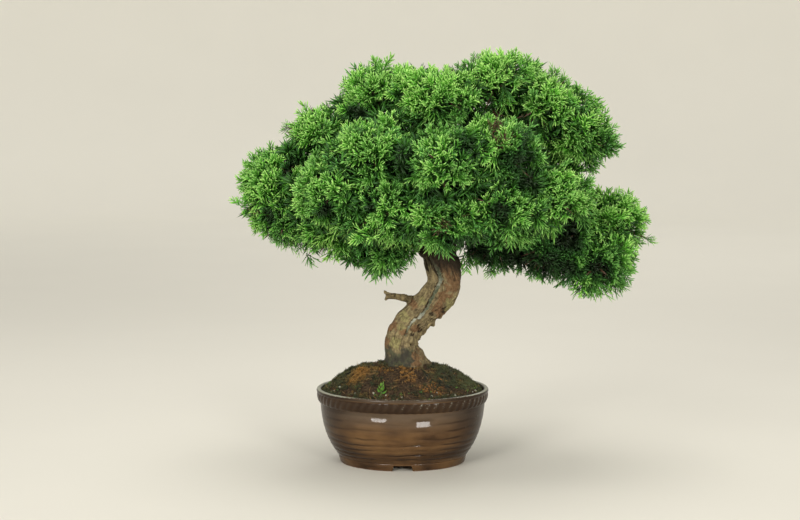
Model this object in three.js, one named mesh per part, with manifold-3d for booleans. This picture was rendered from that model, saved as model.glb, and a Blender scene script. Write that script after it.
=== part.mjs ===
// A juniper bonsai in an oval glazed pot. Sizes are in millimetres, +Z is up, and the pot's
// long side runs along X. Every piece is modelled about the middle of the pot's foot. At the
// end the whole tree is moved so that the middle of its outer box stands over the origin.

import * as THREE from "three";
import { mergeVertices } from "three/addons/utils/BufferGeometryUtils.js";
import Module from "manifold-3d";

const wasm = await Module();
wasm.setup();

// ---------------------------------------------------------------- driving dimensions

const GAP = 0.35;                // clearance between two pieces that touch
const CUT = 200;                 // length of a cutter that goes right through the pot
const SLIVER = 0.02;             // faces flatter than this are merged away after a join

const POT = {
  sides: 44,                     // facets round the pot, a multiple of the soil's
  footInner: 41.5,               // half widths, along X
  footOuter: 46.2,
  bellyFoot: 47.6,
  bellyTop: 60.6,
  bandRoot: 61.2,
  lip: 63.7,
  lipInner: 59.6,
  recess: 4.4,                   // heights above the surface it stands on
  footTop: 4.8,
  bellyBase: 6,
  bellyPulls: [[54.6, 15], [59.6, 27]],   // the handles of the belly's curve
  bandBottom: 44.4,
  bandTop: 52.2,
  height: 55,
  floor: 8.6,
  depthAtFoot: 0.83,             // depth over width of the oval
  depthAtLip: 0.84,
};

// The inside of the pot's wall, from the lip down to the floor: half width and height.
const INNER_WALL = [[58.6, 51.6], [56.8, 40], [51.8, 20], [46, 12], [39, POT.floor]];

const ROPE = { strands: 44, slant: 0.8, length: 10, width: 5.4, stand: 3.2 };
const NOTCH = { bottom: 16.8, top: 13, height: 4.3 };
const DRAIN = { radius: 6, offset: 21, sides: 16 };
const SCREEN = { side: 16, thick: 0.9, cells: 2, bar: 1.6 };

const SOIL = {
  sides: 22,
  bottom: POT.floor + SCREEN.thick + 2 * GAP,
  edge: 51.6,                    // height where the soil meets the wall
  rise: 21,                      // how far the mound stands above that
  roundness: 2.8,                // 2 is a dome, more is flatter on top
  rings: [0.9, 0.75, 0.58, 0.4, 0.2],
  grain: 0.7,                    // how far the crumbs stand up and down
};

// Each cushion of moss: its middle and half sizes on the mound, out from the centre (as a
// share of the way to the wall) and round it (radians, 0 along +X), and its thickness.
const MOSS = {
  moss_right: { out: 0.66, halfOut: 0.32, round: -0.16, halfRound: 1.08, thick: 2.2, seed: 3 },
  moss_left: { out: 0.65, halfOut: 0.32, round: 3.3, halfRound: 0.98, thick: 2.1, seed: 8 },
};

const MOSS_DOME = {
  sides: 16,
  outline: [[0, -1], [1, -1], [1, 0], [0.9, 0.5], [0.62, 0.85], [0.3, 1], [0, 1]],
};

// The seedling leans over a little; its leaves spiral up the stem from the lowest one.
const SEEDLING = { x: -16.4, y: -43, root: 47, top: 66, lean: [1.2, 0.6], stem: 0.7, leaves: 6, lowest: 58.6 };
const LEAF = { half: [2.1, 1.4, 0.5], turn: 2.4, droop: 0.5, lift: 0.5 };

// The trunk: places on its centre line and its radius at each.
const TRUNK = [
  { at: [3, 1, 50], radius: 10 },
  { at: [3, 1, 66], radius: 15.5 },
  { at: [2.6, 0, 74], radius: 15.8 },
  { at: [-0.4, -0.5, 82.4], radius: 12.6 },
  { at: [-0.6, -1, 88], radius: 11.9 },
  { at: [0.8, -1, 94], radius: 12 },
  { at: [4.8, 0, 100.5], radius: 11.9 },
  { at: [12.8, 1.5, 109.5], radius: 12 },
  { at: [21.8, 3, 118], radius: 12.3 },
  { at: [28.4, 4, 127], radius: 13 },
  { at: [30.3, 4, 135], radius: 12.4 },
  { at: [29.2, 3, 142], radius: 12.8 },
  { at: [27.4, 2, 149], radius: 13.4 },
  { at: [27.6, 1, 157], radius: 11.5 },
];

const FLUTES = { sides: 12, steps: 24, three: 0.07, five: 0.035, twist: [5, -4] };

// The surface roots: the way each heads, how far it reaches and its radius at the trunk.
const ROOTS = [
  { heading: 0.15, reach: 25, radius: 6 },
  { heading: 1.5, reach: 23, radius: 5 },
  { heading: 2.75, reach: 25, radius: 5.6 },
  { heading: 4.0, reach: 24, radius: 5.2 },
  { heading: 5.3, reach: 25, radius: 5.8 },
];

const ROOT_RUN = { start: 7, bend: 0.62, heights: [78, 70.5, 60], taper: 0.55, sides: 6, steps: 3 };

// The dead branch, from inside the trunk to its tip, and the two points of its forked end.
const JIN = {
  path: [[10, 0, 117.5], [3.6, -1, 120.6], [-3.8, -2.5, 122.4], [-11.4, -4, 123.4]],
  points: [[[-9.1, -4, 123.4], [-14, -4.5, 126.8]], [[-9.6, -4, 123.4], [-12.8, -3.5, 119.8]]],
  radii: [3.6, 2.1],
  pointRadii: [1.9, 1.4],
  knobs: { size: 0.35, rate: 17 },
};

// The boughs inside the crown: centre lines, and the radius at the start and at the end.
const BOUGHS = {
  leader: {
    path: [[27.8, 1, 150], [31, 2, 168], [32, 3, 186], [28, 1, 212], [21, -1, 240]],
    radii: [11, 3.4],
  },
  left: {
    path: [[27, 1, 148], [12, -2, 166], [-2, -3, 177], [-36, -1, 189], [-62, 0, 199]],
    radii: [9, 2.8],
  },
  right: {
    path: [[31, 2, 165], [50, 2, 177], [71, 0, 180], [106, -1, 181], [131, -3, 177]],
    radii: [7.5, 2.6],
  },
  upper: { path: [[31.5, 2, 192], [44, 0, 214], [63, -1, 229], [92, -4, 244]], radii: [6, 2.6] },
};

const BOUGH = { sides: 7, steps: 9, flute: 0.05 };
const TWIG = { root: 2.7, tip: 1.6, lift: 7, sides: 3, steps: 4 };

// The pads of foliage: the middle of each, the bough that carries it and how far along that
// bough its twig leaves.
const PADS = {
  left_tip: { at: [-91, 0, 207], bough: "left", along: 0.92 },
  left_low: { at: [-82, -4, 183], bough: "left", along: 0.8 },
  left_shoulder: { at: [-57, 6, 239], bough: "left", along: 0.72 },
  left_under: { at: [-50, -16, 174], bough: "left", along: 0.62 },
  left_front: { at: [-50, -50, 202], bough: "left", along: 0.6 },
  left_back: { at: [-60, 52, 198], bough: "left", along: 0.66 },
  low_left: { at: [-20, -14, 161], bough: "left", along: 0.36 },
  low_front: { at: [-12, -62, 190], bough: "left", along: 0.3 },
  low_back: { at: [-14, 58, 180], bough: "left", along: 0.34 },
  front_left: { at: [-19, -52, 232], bough: "leader", along: 0.68 },
  front_mid: { at: [25, -73, 222], bough: "leader", along: 0.56 },
  front_low: { at: [31, -62, 184], bough: "leader", along: 0.34 },
  top_left: { at: [-15, -6, 273], bough: "leader", along: 0.96 },
  top_mid: { at: [26, -26, 268], bough: "leader", along: 0.98 },
  top_back: { at: [24, 46, 256], bough: "leader", along: 0.9 },
  back_left: { at: [-24, 66, 224], bough: "leader", along: 0.72 },
  back_mid: { at: [38, 82, 202], bough: "leader", along: 0.46 },
  top_right: { at: [68, -6, 277], bough: "upper", along: 0.8 },
  right_shoulder: { at: [104, -8, 261], bough: "upper", along: 0.97 },
  right_side: { at: [124, 0, 236], bough: "upper", along: 0.86 },
  front_right: { at: [68, -64, 234], bough: "upper", along: 0.5 },
  back_right: { at: [88, 58, 236], bough: "upper", along: 0.6 },
  right_low: { at: [151, -4, 177], bough: "right", along: 0.97 },
  right_foot: { at: [139, -12, 147], bough: "right", along: 0.86 },
  right_under: { at: [110, -15, 162], bough: "right", along: 0.68 },
  low_mid: { at: [66, 12, 162], bough: "right", along: 0.36 },
  front_low_right: { at: [72, -68, 190], bough: "right", along: 0.42 },
  front_far_right: { at: [105, -52, 198], bough: "right", along: 0.64 },
  back_low_right: { at: [112, 56, 184], bough: "right", along: 0.66 },
};

const CORE = { width: 13, height: 8 };
const SHOOT = {
  count: 23,
  length: 19,
  vary: 0.15,                    // share by which the length goes up and down
  radius: 1.1,
  sunk: 2.5,                     // how deep a root sits in the core
  lift: 0.28,                    // how much a level shoot turns up
  spread: 0.35,                  // how far the first try leans from straight out
  tries: 6,
  clear: 2.6,                    // least distance to what belongs to another pad
};
const GOLDEN_ANGLE = Math.PI * (3 - Math.sqrt(5));

// ---------------------------------------------------------------- solids

/** The same sequence of numbers from 0 to 1 for the same seed. */
function randomFrom(seed) {
  let state = seed * 7919 + 17;
  return () => {
    state = (state * 1664525 + 1013904223) % 4294967296;
    return state / 4294967296;
  };
}

/** A closed three.js geometry as a solid that can be joined and cut. */
function solid(geometry) {
  geometry.deleteAttribute("normal");
  geometry.deleteAttribute("uv");
  const merged = mergeVertices(geometry, 1e-4);
  const corners = merged.index.array;
  const triVerts = [];
  for (let i = 0; i < corners.length; i += 3) {
    const [a, b, c] = corners.slice(i, i + 3);
    if (a !== b && b !== c && c !== a) triVerts.push(a, b, c);
  }
  return new wasm.Manifold(new wasm.Mesh({
    numProp: 3,
    vertProperties: merged.attributes.position.array,
    triVerts: new Uint32Array(triVerts),
  }));
}

/** The largest single body of a solid: loose scraps and sealed hollows are dropped. */
function largest(body) {
  const bodies = body.simplify(SLIVER).decompose();
  return bodies.reduce((best, other) => (other.volume() > best.volume() ? other : best));
}

/** Many solids joined into one. */
function joined(bodies) {
  return wasm.Manifold.union(bodies);
}

/** A named mesh of a solid. */
function meshOf(name, body, look) {
  const { vertProperties, triVerts } = largest(body).getMesh();
  const geometry = new THREE.BufferGeometry();
  geometry.setAttribute("position", new THREE.BufferAttribute(vertProperties, 3));
  geometry.setIndex(new THREE.BufferAttribute(triVerts, 1));
  geometry.computeVertexNormals();
  const mesh = new THREE.Mesh(geometry, look);
  mesh.name = name;
  return mesh;
}

/** Moves every vertex of a geometry by place(vertex). */
function shaped(geometry, place) {
  const position = geometry.attributes.position;
  const vertex = new THREE.Vector3();
  for (let i = 0; i < position.count; i += 1) {
    place(vertex.fromBufferAttribute(position, i));
    position.setXYZ(i, vertex.x, vertex.y, vertex.z);
  }
  return geometry;
}

/** A solid turned about Z from an outline of [half width, height] points. */
function turned(outline, sides) {
  const points = outline.map(([x, z]) => new THREE.Vector2(x, z));
  return new THREE.LatheGeometry(points, sides).rotateX(Math.PI / 2);
}

/** A smooth curve through places given as [x, y, z]. */
function curveThrough(places) {
  return new THREE.CatmullRomCurve3(places.map((place) => new THREE.Vector3(...place)));
}

/**
 * A round limb along a curve. radiusAt(t, angle) gives its radius from the start, t = 0, to
 * the end, t = 1, and grow widens and lengthens it all round.
 */
function limb(curve, radiusAt, sides, steps, grow = 0) {
  const frames = curve.computeFrenetFrames(steps, false);
  const geometry = new THREE.CylinderGeometry(1, 1, 1, sides, steps);
  shaped(geometry, (vertex) => {
    const ring = Math.round((vertex.y + 0.5) * steps);
    const reach = Math.hypot(vertex.x, vertex.z);
    const angle = Math.atan2(vertex.z, vertex.x);
    const radius = reach * (radiusAt(ring / steps, angle) + grow);
    const past = ring === 0 ? -grow : ring === steps ? grow : 0;
    vertex.copy(curve.getPointAt(ring / steps))
      .addScaledVector(frames.tangents[ring], past)
      .addScaledVector(frames.normals[ring], radius * Math.cos(angle))
      .addScaledVector(frames.binormals[ring], -radius * Math.sin(angle));
  });
  return solid(geometry);
}

// ---------------------------------------------------------------- pot

/** Depth over width of the oval at a height. */
function depthRatio(z) {
  return THREE.MathUtils.mapLinear(z, 0, POT.height, POT.depthAtFoot, POT.depthAtLip);
}

/** Presses a round, turned geometry into the pot's oval. */
function oval(geometry) {
  return shaped(geometry, (vertex) => {
    vertex.y *= depthRatio(vertex.z);
  });
}

/** The pot's outline, from the middle of its underside up the outside and down the inside. */
function potOutline() {
  const path = new THREE.Path();
  path.moveTo(0, POT.recess);
  path.lineTo(POT.footInner - 1, POT.recess);
  path.lineTo(POT.footInner, 0);
  path.lineTo(POT.footOuter, 0);
  path.lineTo(POT.footOuter + 0.4, POT.footTop);
  path.lineTo(POT.bellyFoot, POT.bellyBase);
  path.bezierCurveTo(...POT.bellyPulls.flat(), POT.bellyTop, POT.bandBottom);
  path.lineTo(POT.bandRoot, POT.bandBottom + 0.6);
  path.lineTo(POT.bandRoot, POT.bandTop);
  path.lineTo(POT.lip - 0.7, POT.bandTop + 0.7);
  path.quadraticCurveTo(POT.lip + 0.6, POT.height, (POT.lip + POT.lipInner) / 2, POT.height);
  path.lineTo(POT.lipInner, POT.height - 0.7);
  INNER_WALL.forEach(([x, z]) => path.lineTo(x, z));
  path.lineTo(0, POT.floor);
  return path.getPoints(4).map((point) => [point.x, point.y]);
}

/** The strands of the rope that runs round the pot under its lip, spaced evenly along it. */
function ropeStrands() {
  const middle = (POT.bandBottom + POT.bandTop) / 2;
  const ratio = depthRatio(middle);
  const ring = new THREE.EllipseCurve(0, 0, POT.bandRoot, POT.bandRoot * ratio, 0, 2 * Math.PI);
  return Array.from({ length: ROPE.strands }, (_, i) => {
    const place = ring.getPoint((i + 0.5) / ROPE.strands);
    const along = ring.getTangent((i + 0.5) / ROPE.strands);
    const strand = new THREE.OctahedronGeometry(0.5, 0);
    strand.scale(ROPE.width, ROPE.stand, ROPE.length);
    strand.rotateY(ROPE.slant);
    strand.rotateZ(Math.atan2(along.y, along.x));
    strand.translate(place.x, place.y, middle);
    return solid(strand);
  });
}

/** The notch that cuts through the foot ring at the front and at the back. */
function footNotch() {
  const outline = new THREE.Shape([
    new THREE.Vector2(-NOTCH.bottom / 2, -1),
    new THREE.Vector2(NOTCH.bottom / 2, -1),
    new THREE.Vector2(NOTCH.bottom / 2, 0),
    new THREE.Vector2(NOTCH.top / 2, NOTCH.height),
    new THREE.Vector2(-NOTCH.top / 2, NOTCH.height),
    new THREE.Vector2(-NOTCH.bottom / 2, 0),
  ]);
  const prism = new THREE.ExtrudeGeometry(outline, { depth: CUT, bevelEnabled: false });
  return solid(prism.rotateX(Math.PI / 2).translate(0, CUT / 2, 0));
}

/** A drainage hole's cutter. */
function drain(side) {
  const cutter = new THREE.CylinderGeometry(DRAIN.radius, DRAIN.radius, CUT, DRAIN.sides);
  return solid(cutter.rotateX(Math.PI / 2).translate(side * DRAIN.offset, 0, 0));
}

function pot() {
  const shell = solid(oval(turned(potOutline(), POT.sides)));
  return joined([shell, ...ropeStrands()]).subtract(joined([footNotch(), drain(-1), drain(1)]));
}

/** A square of plastic mesh that lies over a drainage hole and keeps the soil in. */
function screen(side) {
  const block = (width, height) => solid(new THREE.BoxGeometry(width, width, height));
  const pitch = (SCREEN.side - SCREEN.bar) / SCREEN.cells;
  const middle = (SCREEN.cells - 1) / 2;
  const cells = [];
  for (let row = 0; row < SCREEN.cells; row += 1) {
    for (let column = 0; column < SCREEN.cells; column += 1) {
      const cell = block(pitch - SCREEN.bar, SCREEN.side);
      cells.push(cell.translate([(column - middle) * pitch, (row - middle) * pitch, 0]));
    }
  }
  const plate = block(SCREEN.side, SCREEN.thick).subtract(joined(cells));
  return plate.translate([side * DRAIN.offset, 0, POT.floor + GAP + SCREEN.thick / 2]);
}

// ---------------------------------------------------------------- soil and what grows on it

/** Height of the smooth mound of soil at a place. */
function moundHeight(x, y) {
  const halfWidth = INNER_WALL[0][0] - GAP;
  const out = Math.hypot(x / halfWidth, y / (halfWidth * depthRatio(SOIL.edge)));
  return SOIL.edge + SOIL.rise * (1 - Math.min(out, 1) ** SOIL.roundness);
}

/** The crumbs on the soil, up and down from the smooth mound. */
function crumbs(x, y) {
  return SOIL.grain * Math.sin(0.83 * x + 1.31 * y) * Math.sin(1.17 * y - 0.71 * x + 2);
}

/** The block of soil with nothing growing in it: it fills the pot and rises in a mound. */
function soilBlock() {
  const wall = INNER_WALL.filter(([, z]) => z > SOIL.bottom && z <= SOIL.edge);
  const sides = wall.map(([x, z]) => [x - GAP, z]).reverse();
  const edge = sides.at(-1)[0];
  const top = SOIL.rings.map((share) => [share * edge, SOIL.edge + 1]);
  const outline = [[0, SOIL.bottom], [sides[0][0] - 4, SOIL.bottom], ...sides, ...top, [0, SOIL.edge + 1]];
  const block = oval(turned(outline, SOIL.sides));
  return solid(shaped(block, (vertex) => {
    if (vertex.z <= SOIL.edge) return;
    vertex.z = moundHeight(vertex.x, vertex.y) + crumbs(vertex.x, vertex.y);
  }));
}

/** A cushion of moss, lying on the mound and rounded off at its edge. */
function mossCushion({ out, halfOut, round, halfRound, thick, seed }) {
  const dome = turned(MOSS_DOME.outline, MOSS_DOME.sides);
  const width = INNER_WALL[0][0] - GAP;
  return solid(shaped(dome, (vertex) => {
    const share = out + halfOut * vertex.x;
    const angle = round + halfRound * vertex.y;
    const x = share * width * Math.cos(angle);
    const y = share * width * depthRatio(SOIL.edge) * Math.sin(angle);
    const tuft = 0.24 * Math.sin(0.9 * x + seed) * Math.sin(1.05 * y + 2 * seed);
    const height = vertex.z > 0 ? thick * (vertex.z + tuft) : vertex.z * 2;
    vertex.set(x, y, moundHeight(x, y) + height);
  }));
}

/** The centre line of the seedling's stem. */
function seedlingCurve() {
  const { x, y, root, top, lean } = SEEDLING;
  const halfway = [x + lean[0] / 4, y, (root + top) / 2];
  return curveThrough([[x, y, root], halfway, [x + lean[0], y + lean[1], top]]);
}

/** The stem of the weed seedling at the front of the pot. */
function seedlingStem(grow) {
  return limb(seedlingCurve(), () => SEEDLING.stem, 5, 4, grow);
}

/** The seedling: small leaves spiralling up a thin stem. */
function seedling() {
  const { root, top, leaves, lowest } = SEEDLING;
  const curve = seedlingCurve();
  const parts = [seedlingStem(0)];
  for (let i = 0; i < leaves; i += 1) {
    const share = i / (leaves - 1);
    const height = THREE.MathUtils.lerp(lowest, top - LEAF.half[2], share);
    const place = curve.getPointAt((height - root) / (top - root));
    const blade = new THREE.OctahedronGeometry(1, 0);
    blade.scale(...LEAF.half);
    blade.translate(LEAF.half[0] * 0.85, 0, 0);
    blade.rotateY(-LEAF.droop - LEAF.lift * share);
    blade.rotateZ(i * LEAF.turn);
    blade.translate(place.x, place.y, place.z);
    parts.push(solid(blade));
  }
  return joined(parts);
}

// ---------------------------------------------------------------- trunk and boughs

/** A value from a list of them, read from 0 at its start to 1 at its end. */
function along(values, t) {
  const place = t * (values.length - 1);
  const low = Math.min(Math.floor(place), values.length - 2);
  return THREE.MathUtils.lerp(values[low], values[low + 1], place - low);
}

/** The trunk, fluted and twisting as it rises. */
function trunkLimb(grow) {
  const places = TRUNK.map(({ at }) => new THREE.Vector3(...at));
  const steps = places.map((place, i) => (i ? place.distanceTo(places[i - 1]) : 0));
  const total = steps.reduce((sum, step) => sum + step);
  const radiusAt = (t, angle) => {
    let left = t * total;
    let next = 1;
    while (next < steps.length - 1 && left > steps[next]) {
      left -= steps[next];
      next += 1;
    }
    const radius = THREE.MathUtils.lerp(TRUNK[next - 1].radius, TRUNK[next].radius, left / steps[next]);
    const three = FLUTES.three * Math.sin(3 * angle + FLUTES.twist[0] * t);
    const five = FLUTES.five * Math.sin(5 * angle + FLUTES.twist[1] * t);
    return radius * (1 + three + five);
  };
  return limb(new THREE.CatmullRomCurve3(places), radiusAt, FLUTES.sides, FLUTES.steps, grow);
}

/** A surface root that runs out from the trunk and dives into the soil. */
function root({ heading, reach, radius }, grow) {
  const foot = TRUNK[2].at;
  const outs = [ROOT_RUN.start, reach * ROOT_RUN.bend, reach];
  const places = outs.map((out, i) =>
    [foot[0] + out * Math.cos(heading), foot[1] + out * Math.sin(heading), ROOT_RUN.heights[i]]);
  const radiusAt = (t) => radius * (1 - ROOT_RUN.taper * t);
  return limb(curveThrough(places), radiusAt, ROOT_RUN.sides, ROOT_RUN.steps, grow);
}

/** The short dead branch on the trunk, with its knobbly forked end. */
function deadBranch(grow) {
  const knob = (t) => JIN.knobs.size * Math.sin(JIN.knobs.rate * t);
  const branch = limb(curveThrough(JIN.path), (t) => along(JIN.radii, t) + knob(t), 7, 7, grow);
  const points = JIN.points.map((path) =>
    limb(curveThrough(path), (t) => along(JIN.pointRadii, t), 5, 2, grow));
  return joined([branch, ...points]);
}

const boughCurves = Object.fromEntries(
  Object.entries(BOUGHS).map(([name, { path }]) => [name, curveThrough(path)]),
);

/** The twig from a bough to the middle of its pad. */
function twigCurve({ at, bough, along: share }) {
  const start = boughCurves[bough].getPointAt(share);
  const end = new THREE.Vector3(...at);
  const middle = start.clone().lerp(end, 0.5).add(new THREE.Vector3(0, 0, TWIG.lift));
  return new THREE.QuadraticBezierCurve3(start, middle, end);
}

/** The living wood and the dead branch: one piece, grown as one. */
function wood(grow = 0) {
  const boughs = Object.entries(BOUGHS).map(([name, { radii }]) =>
    limb(boughCurves[name], (t, angle) => along(radii, t) * (1 + BOUGH.flute * Math.sin(3 * angle)),
      BOUGH.sides, BOUGH.steps, grow));
  const twigs = Object.values(PADS).map((pad) =>
    limb(twigCurve(pad), (t) => THREE.MathUtils.lerp(TWIG.root, TWIG.tip, t), TWIG.sides, TWIG.steps, grow));
  const roots = ROOTS.map((one) => root(one, grow));
  return joined([trunkLimb(grow), deadBranch(grow), ...roots, ...boughs, ...twigs]);
}

// ---------------------------------------------------------------- foliage

/** Places along every limb of the crown, with the radius to keep clear of. */
function limbMarks() {
  const marks = [];
  const mark = (curve, steps, radiusAt) => {
    for (let i = 0; i <= steps; i += 1) {
      marks.push({ point: curve.getPointAt(i / steps), radius: radiusAt(i / steps) });
    }
  };
  Object.entries(BOUGHS).forEach(([name, { radii }]) => mark(boughCurves[name], 40, (t) => along(radii, t)));
  Object.values(PADS).forEach((pad) => mark(twigCurve(pad), 24, () => TWIG.root));
  const thickest = Math.max(...TRUNK.map(({ radius }) => radius));
  mark(curveThrough(TRUNK.map(({ at }) => at)), 30, () => thickest);
  return marks;
}

/** Shortest distance between two straight shoots. */
function apart(one, other) {
  let best = Infinity;
  const segment = new THREE.Line3(other.base, other.tip);
  const near = new THREE.Vector3();
  for (let i = 0; i <= 8; i += 1) {
    const point = one.base.clone().lerp(one.tip, i / 8);
    segment.closestPointToPoint(point, true, near);
    best = Math.min(best, near.distanceTo(point));
  }
  return best;
}

/** Whether a shoot stays clear of the limbs, of the other pads' cores and of their shoots. */
function isClear(shoot, name, marks, shoots) {
  for (let i = 2; i <= 8; i += 1) {
    const point = shoot.base.clone().lerp(shoot.tip, i / 8);
    if (marks.some((mark) => mark.point.distanceTo(point) < mark.radius + SHOOT.radius + 1)) return false;
    for (const [other, { at }] of Object.entries(PADS)) {
      if (other === name) continue;
      const across = Math.hypot(point.x - at[0], point.y - at[1]) / (CORE.width + SHOOT.clear);
      const up = (point.z - at[2]) / (CORE.height + SHOOT.clear);
      if (Math.hypot(across, up) < 1) return false;
    }
  }
  return shoots.every((other) => other.pad === name || apart(shoot, other) > SHOOT.clear);
}

/** The shoots of every pad, spread evenly over its core and bent clear of their neighbours. */
function growShoots() {
  const marks = limbMarks();
  const shoots = [];
  Object.entries(PADS).forEach(([name, { at }], index) => {
    const random = randomFrom(index + 1);
    const middle = new THREE.Vector3(...at);
    for (let i = 0; i < SHOOT.count; i += 1) {
      const rise = 1 - (2 * i + 1) / SHOOT.count;
      const level = Math.sqrt(1 - rise * rise);
      const turn = i * GOLDEN_ANGLE + index;
      const out = new THREE.Vector3(level * Math.cos(turn), level * Math.sin(turn), rise);
      const skin = new THREE.Vector3(CORE.width, CORE.width, CORE.height).multiply(out);
      for (let attempt = 0; attempt < SHOOT.tries; attempt += 1) {
        const lean = new THREE.Vector3(random() - 0.5, random() - 0.5, random() - 0.5);
        const heading = out.clone().addScaledVector(lean, SHOOT.spread * (1 + attempt));
        heading.z += SHOOT.lift * level;
        heading.normalize();
        const root = middle.clone().add(skin);
        const length = SHOOT.length * (1 + SHOOT.vary * (2 * random() - 1));
        const shoot = {
          pad: name,
          base: root.clone().addScaledVector(heading, -SHOOT.sunk),
          tip: root.clone().addScaledVector(heading, length),
        };
        if (isClear(shoot, name, marks, shoots)) {
          shoots.push(shoot);
          break;
        }
      }
    }
  });
  return shoots;
}

/** One shoot: a slim three-sided spike. */
function spike({ base, tip }) {
  const length = base.distanceTo(tip);
  const cone = new THREE.ConeGeometry(SHOOT.radius, length, 3);
  cone.translate(0, length / 2, 0);
  const heading = tip.clone().sub(base).normalize();
  cone.applyQuaternion(new THREE.Quaternion().setFromUnitVectors(new THREE.Vector3(0, 1, 0), heading));
  return solid(cone.translate(base.x, base.y, base.z));
}

/** A pad of foliage: its shoots on a slim core, with a socket for the twig that carries it. */
function pad(name, { at }, shoots, sockets) {
  const core = new THREE.OctahedronGeometry(1, 1);
  core.scale(CORE.width, CORE.width, CORE.height);
  core.translate(...at);
  const own = shoots.filter((shoot) => shoot.pad === name);
  return joined([solid(core), ...own.map(spike)]).subtract(sockets);
}

// ---------------------------------------------------------------- the whole tree

const look = (color, roughness) => new THREE.MeshStandardMaterial({ color, roughness, metalness: 0 });
const LOOKS = {
  glaze: look(0x5d4433, 0.3),
  screen: look(0x2a2c2b, 0.6),
  soil: look(0x5b4028, 0.95),
  moss: look(0x3d4a22, 0.95),
  bark: look(0x8a6c4c, 0.85),
  leaf: look(0x3c8a2a, 0.7),
  foliage: look(0x2f8a24, 0.6),
};

const group = new THREE.Group();
const bareWood = wood();
const sockets = wood(GAP);
const ground = soilBlock();

group.add(meshOf("pot", pot(), LOOKS.glaze));
group.add(meshOf("drainage_screen_left", screen(-1), LOOKS.screen));
group.add(meshOf("drainage_screen_right", screen(1), LOOKS.screen));
group.add(meshOf("soil", ground.subtract(sockets).subtract(seedlingStem(GAP)), LOOKS.soil));
Object.entries(MOSS).forEach(([name, patch]) => {
  const cushion = mossCushion(patch).subtract(ground.translate([0, 0, GAP])).subtract(sockets);
  group.add(meshOf(name, cushion, LOOKS.moss));
});
group.add(meshOf("seedling", seedling(), LOOKS.leaf));
group.add(meshOf("trunk", bareWood, LOOKS.bark));

const shoots = growShoots();
Object.entries(PADS).forEach(([name, one]) => {
  group.add(meshOf(`foliage_${name}`, pad(name, one, shoots, sockets), LOOKS.foliage));
});

const middle = new THREE.Box3().setFromObject(group).getCenter(new THREE.Vector3());
group.position.set(-middle.x, -middle.y, 0);

export default group;
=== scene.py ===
"""Looks of a juniper bonsai in an oval glazed pot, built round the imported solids.

Lengths are in metres. Pieces are modelled about the middle of the pot's foot and then moved to
where the frame has the pot; foliage is modelled straight at the boxes of its nodes.
"""

import logging
import math
import random
from contextlib import contextmanager
from dataclasses import dataclass, field
from enum import Enum, IntEnum
from typing import Callable, Iterator, Sequence

import bpy
import numpy as np
from mathutils import Matrix, Vector, noise


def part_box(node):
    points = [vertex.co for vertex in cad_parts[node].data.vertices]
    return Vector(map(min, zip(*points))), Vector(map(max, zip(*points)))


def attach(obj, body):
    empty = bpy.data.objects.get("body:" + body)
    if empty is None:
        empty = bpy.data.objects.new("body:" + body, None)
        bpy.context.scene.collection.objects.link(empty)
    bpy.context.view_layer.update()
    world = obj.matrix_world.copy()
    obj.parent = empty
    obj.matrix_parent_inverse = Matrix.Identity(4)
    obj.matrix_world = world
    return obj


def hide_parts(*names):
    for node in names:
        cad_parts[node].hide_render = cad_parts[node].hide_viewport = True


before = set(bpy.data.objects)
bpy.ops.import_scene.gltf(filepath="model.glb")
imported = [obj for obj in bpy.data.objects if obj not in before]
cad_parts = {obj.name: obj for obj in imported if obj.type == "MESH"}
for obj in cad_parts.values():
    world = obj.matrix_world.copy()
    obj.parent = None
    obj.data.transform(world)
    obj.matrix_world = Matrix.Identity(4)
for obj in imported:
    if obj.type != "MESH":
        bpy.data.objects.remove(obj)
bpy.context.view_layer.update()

MM = 0.001
BODY = "root"
PAINT_MAP = "OFBake"  # U runs from a growth's root to its tips, V is its tint
GOLDEN_ANGLE = math.pi * (3 - math.sqrt(5))
MOSS_KINDS = 4  # the kinds of tuft in a patch of moss
ROLL = 6.28  # the most a copy is rolled about its own axis
GREEN = (0.04, 0.995)  # the range of U in green growth; less than that is bare wood
TINTS = (0.02, 0.98)  # the range of V

Pair = tuple[float, float]
Triple = tuple[float, float, float]
Colour = Triple
Socket = bpy.types.NodeSocket

log = logging.getLogger("bonsai")


class Slot(Enum):
    """The record's material slots."""

    POT = "glazed_pot"
    SCREEN = "screen_plastic"
    SOIL = "soil"
    MOSS = "moss"
    SEEDLING = "seedling_leaf"
    BARK = "bark"
    FOLIAGE = "foliage"


class Seed(IntEnum):
    """Where the random draws start, so that every run gives the same object."""

    ALL = 1
    OLD_GROWTH = 5
    CRUMBS = 11
    NEEDLES = 12
    GRIT = 13
    MOSS = 17
    SPROUTS = 18
    STALKS = 19
    EDGING = 20
    STONES = 21
    SPRIGS = 27
    MOSS_RIGHT = 31
    MOSS_LEFT = 37
    DRY_SPRAY = 71
    PADS = 100


# -------------------- the bench: shared steps


def pot_place() -> Vector:
    """The point under the middle of the pot, in the frame."""
    low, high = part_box("pot")
    return Vector(((low.x + high.x) / 2, (low.y + high.y) / 2, 0))


def pick(piece: bpy.types.Object) -> None:
    """Selects one object alone and makes it the active one."""
    bpy.ops.object.select_all(action="DESELECT")
    piece.select_set(True)
    bpy.context.view_layer.objects.active = piece


@contextmanager
def editing(piece: bpy.types.Object) -> Iterator[None]:
    """Edit mode on one object, with all of its mesh selected.

    Args:
        piece: the object to edit.
    """
    pick(piece)
    bpy.ops.object.mode_set(mode="EDIT")
    bpy.ops.mesh.select_mode(type="VERT")
    bpy.ops.mesh.select_all(action="SELECT")
    try:
        yield
    finally:
        bpy.ops.object.mode_set(mode="OBJECT")


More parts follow.
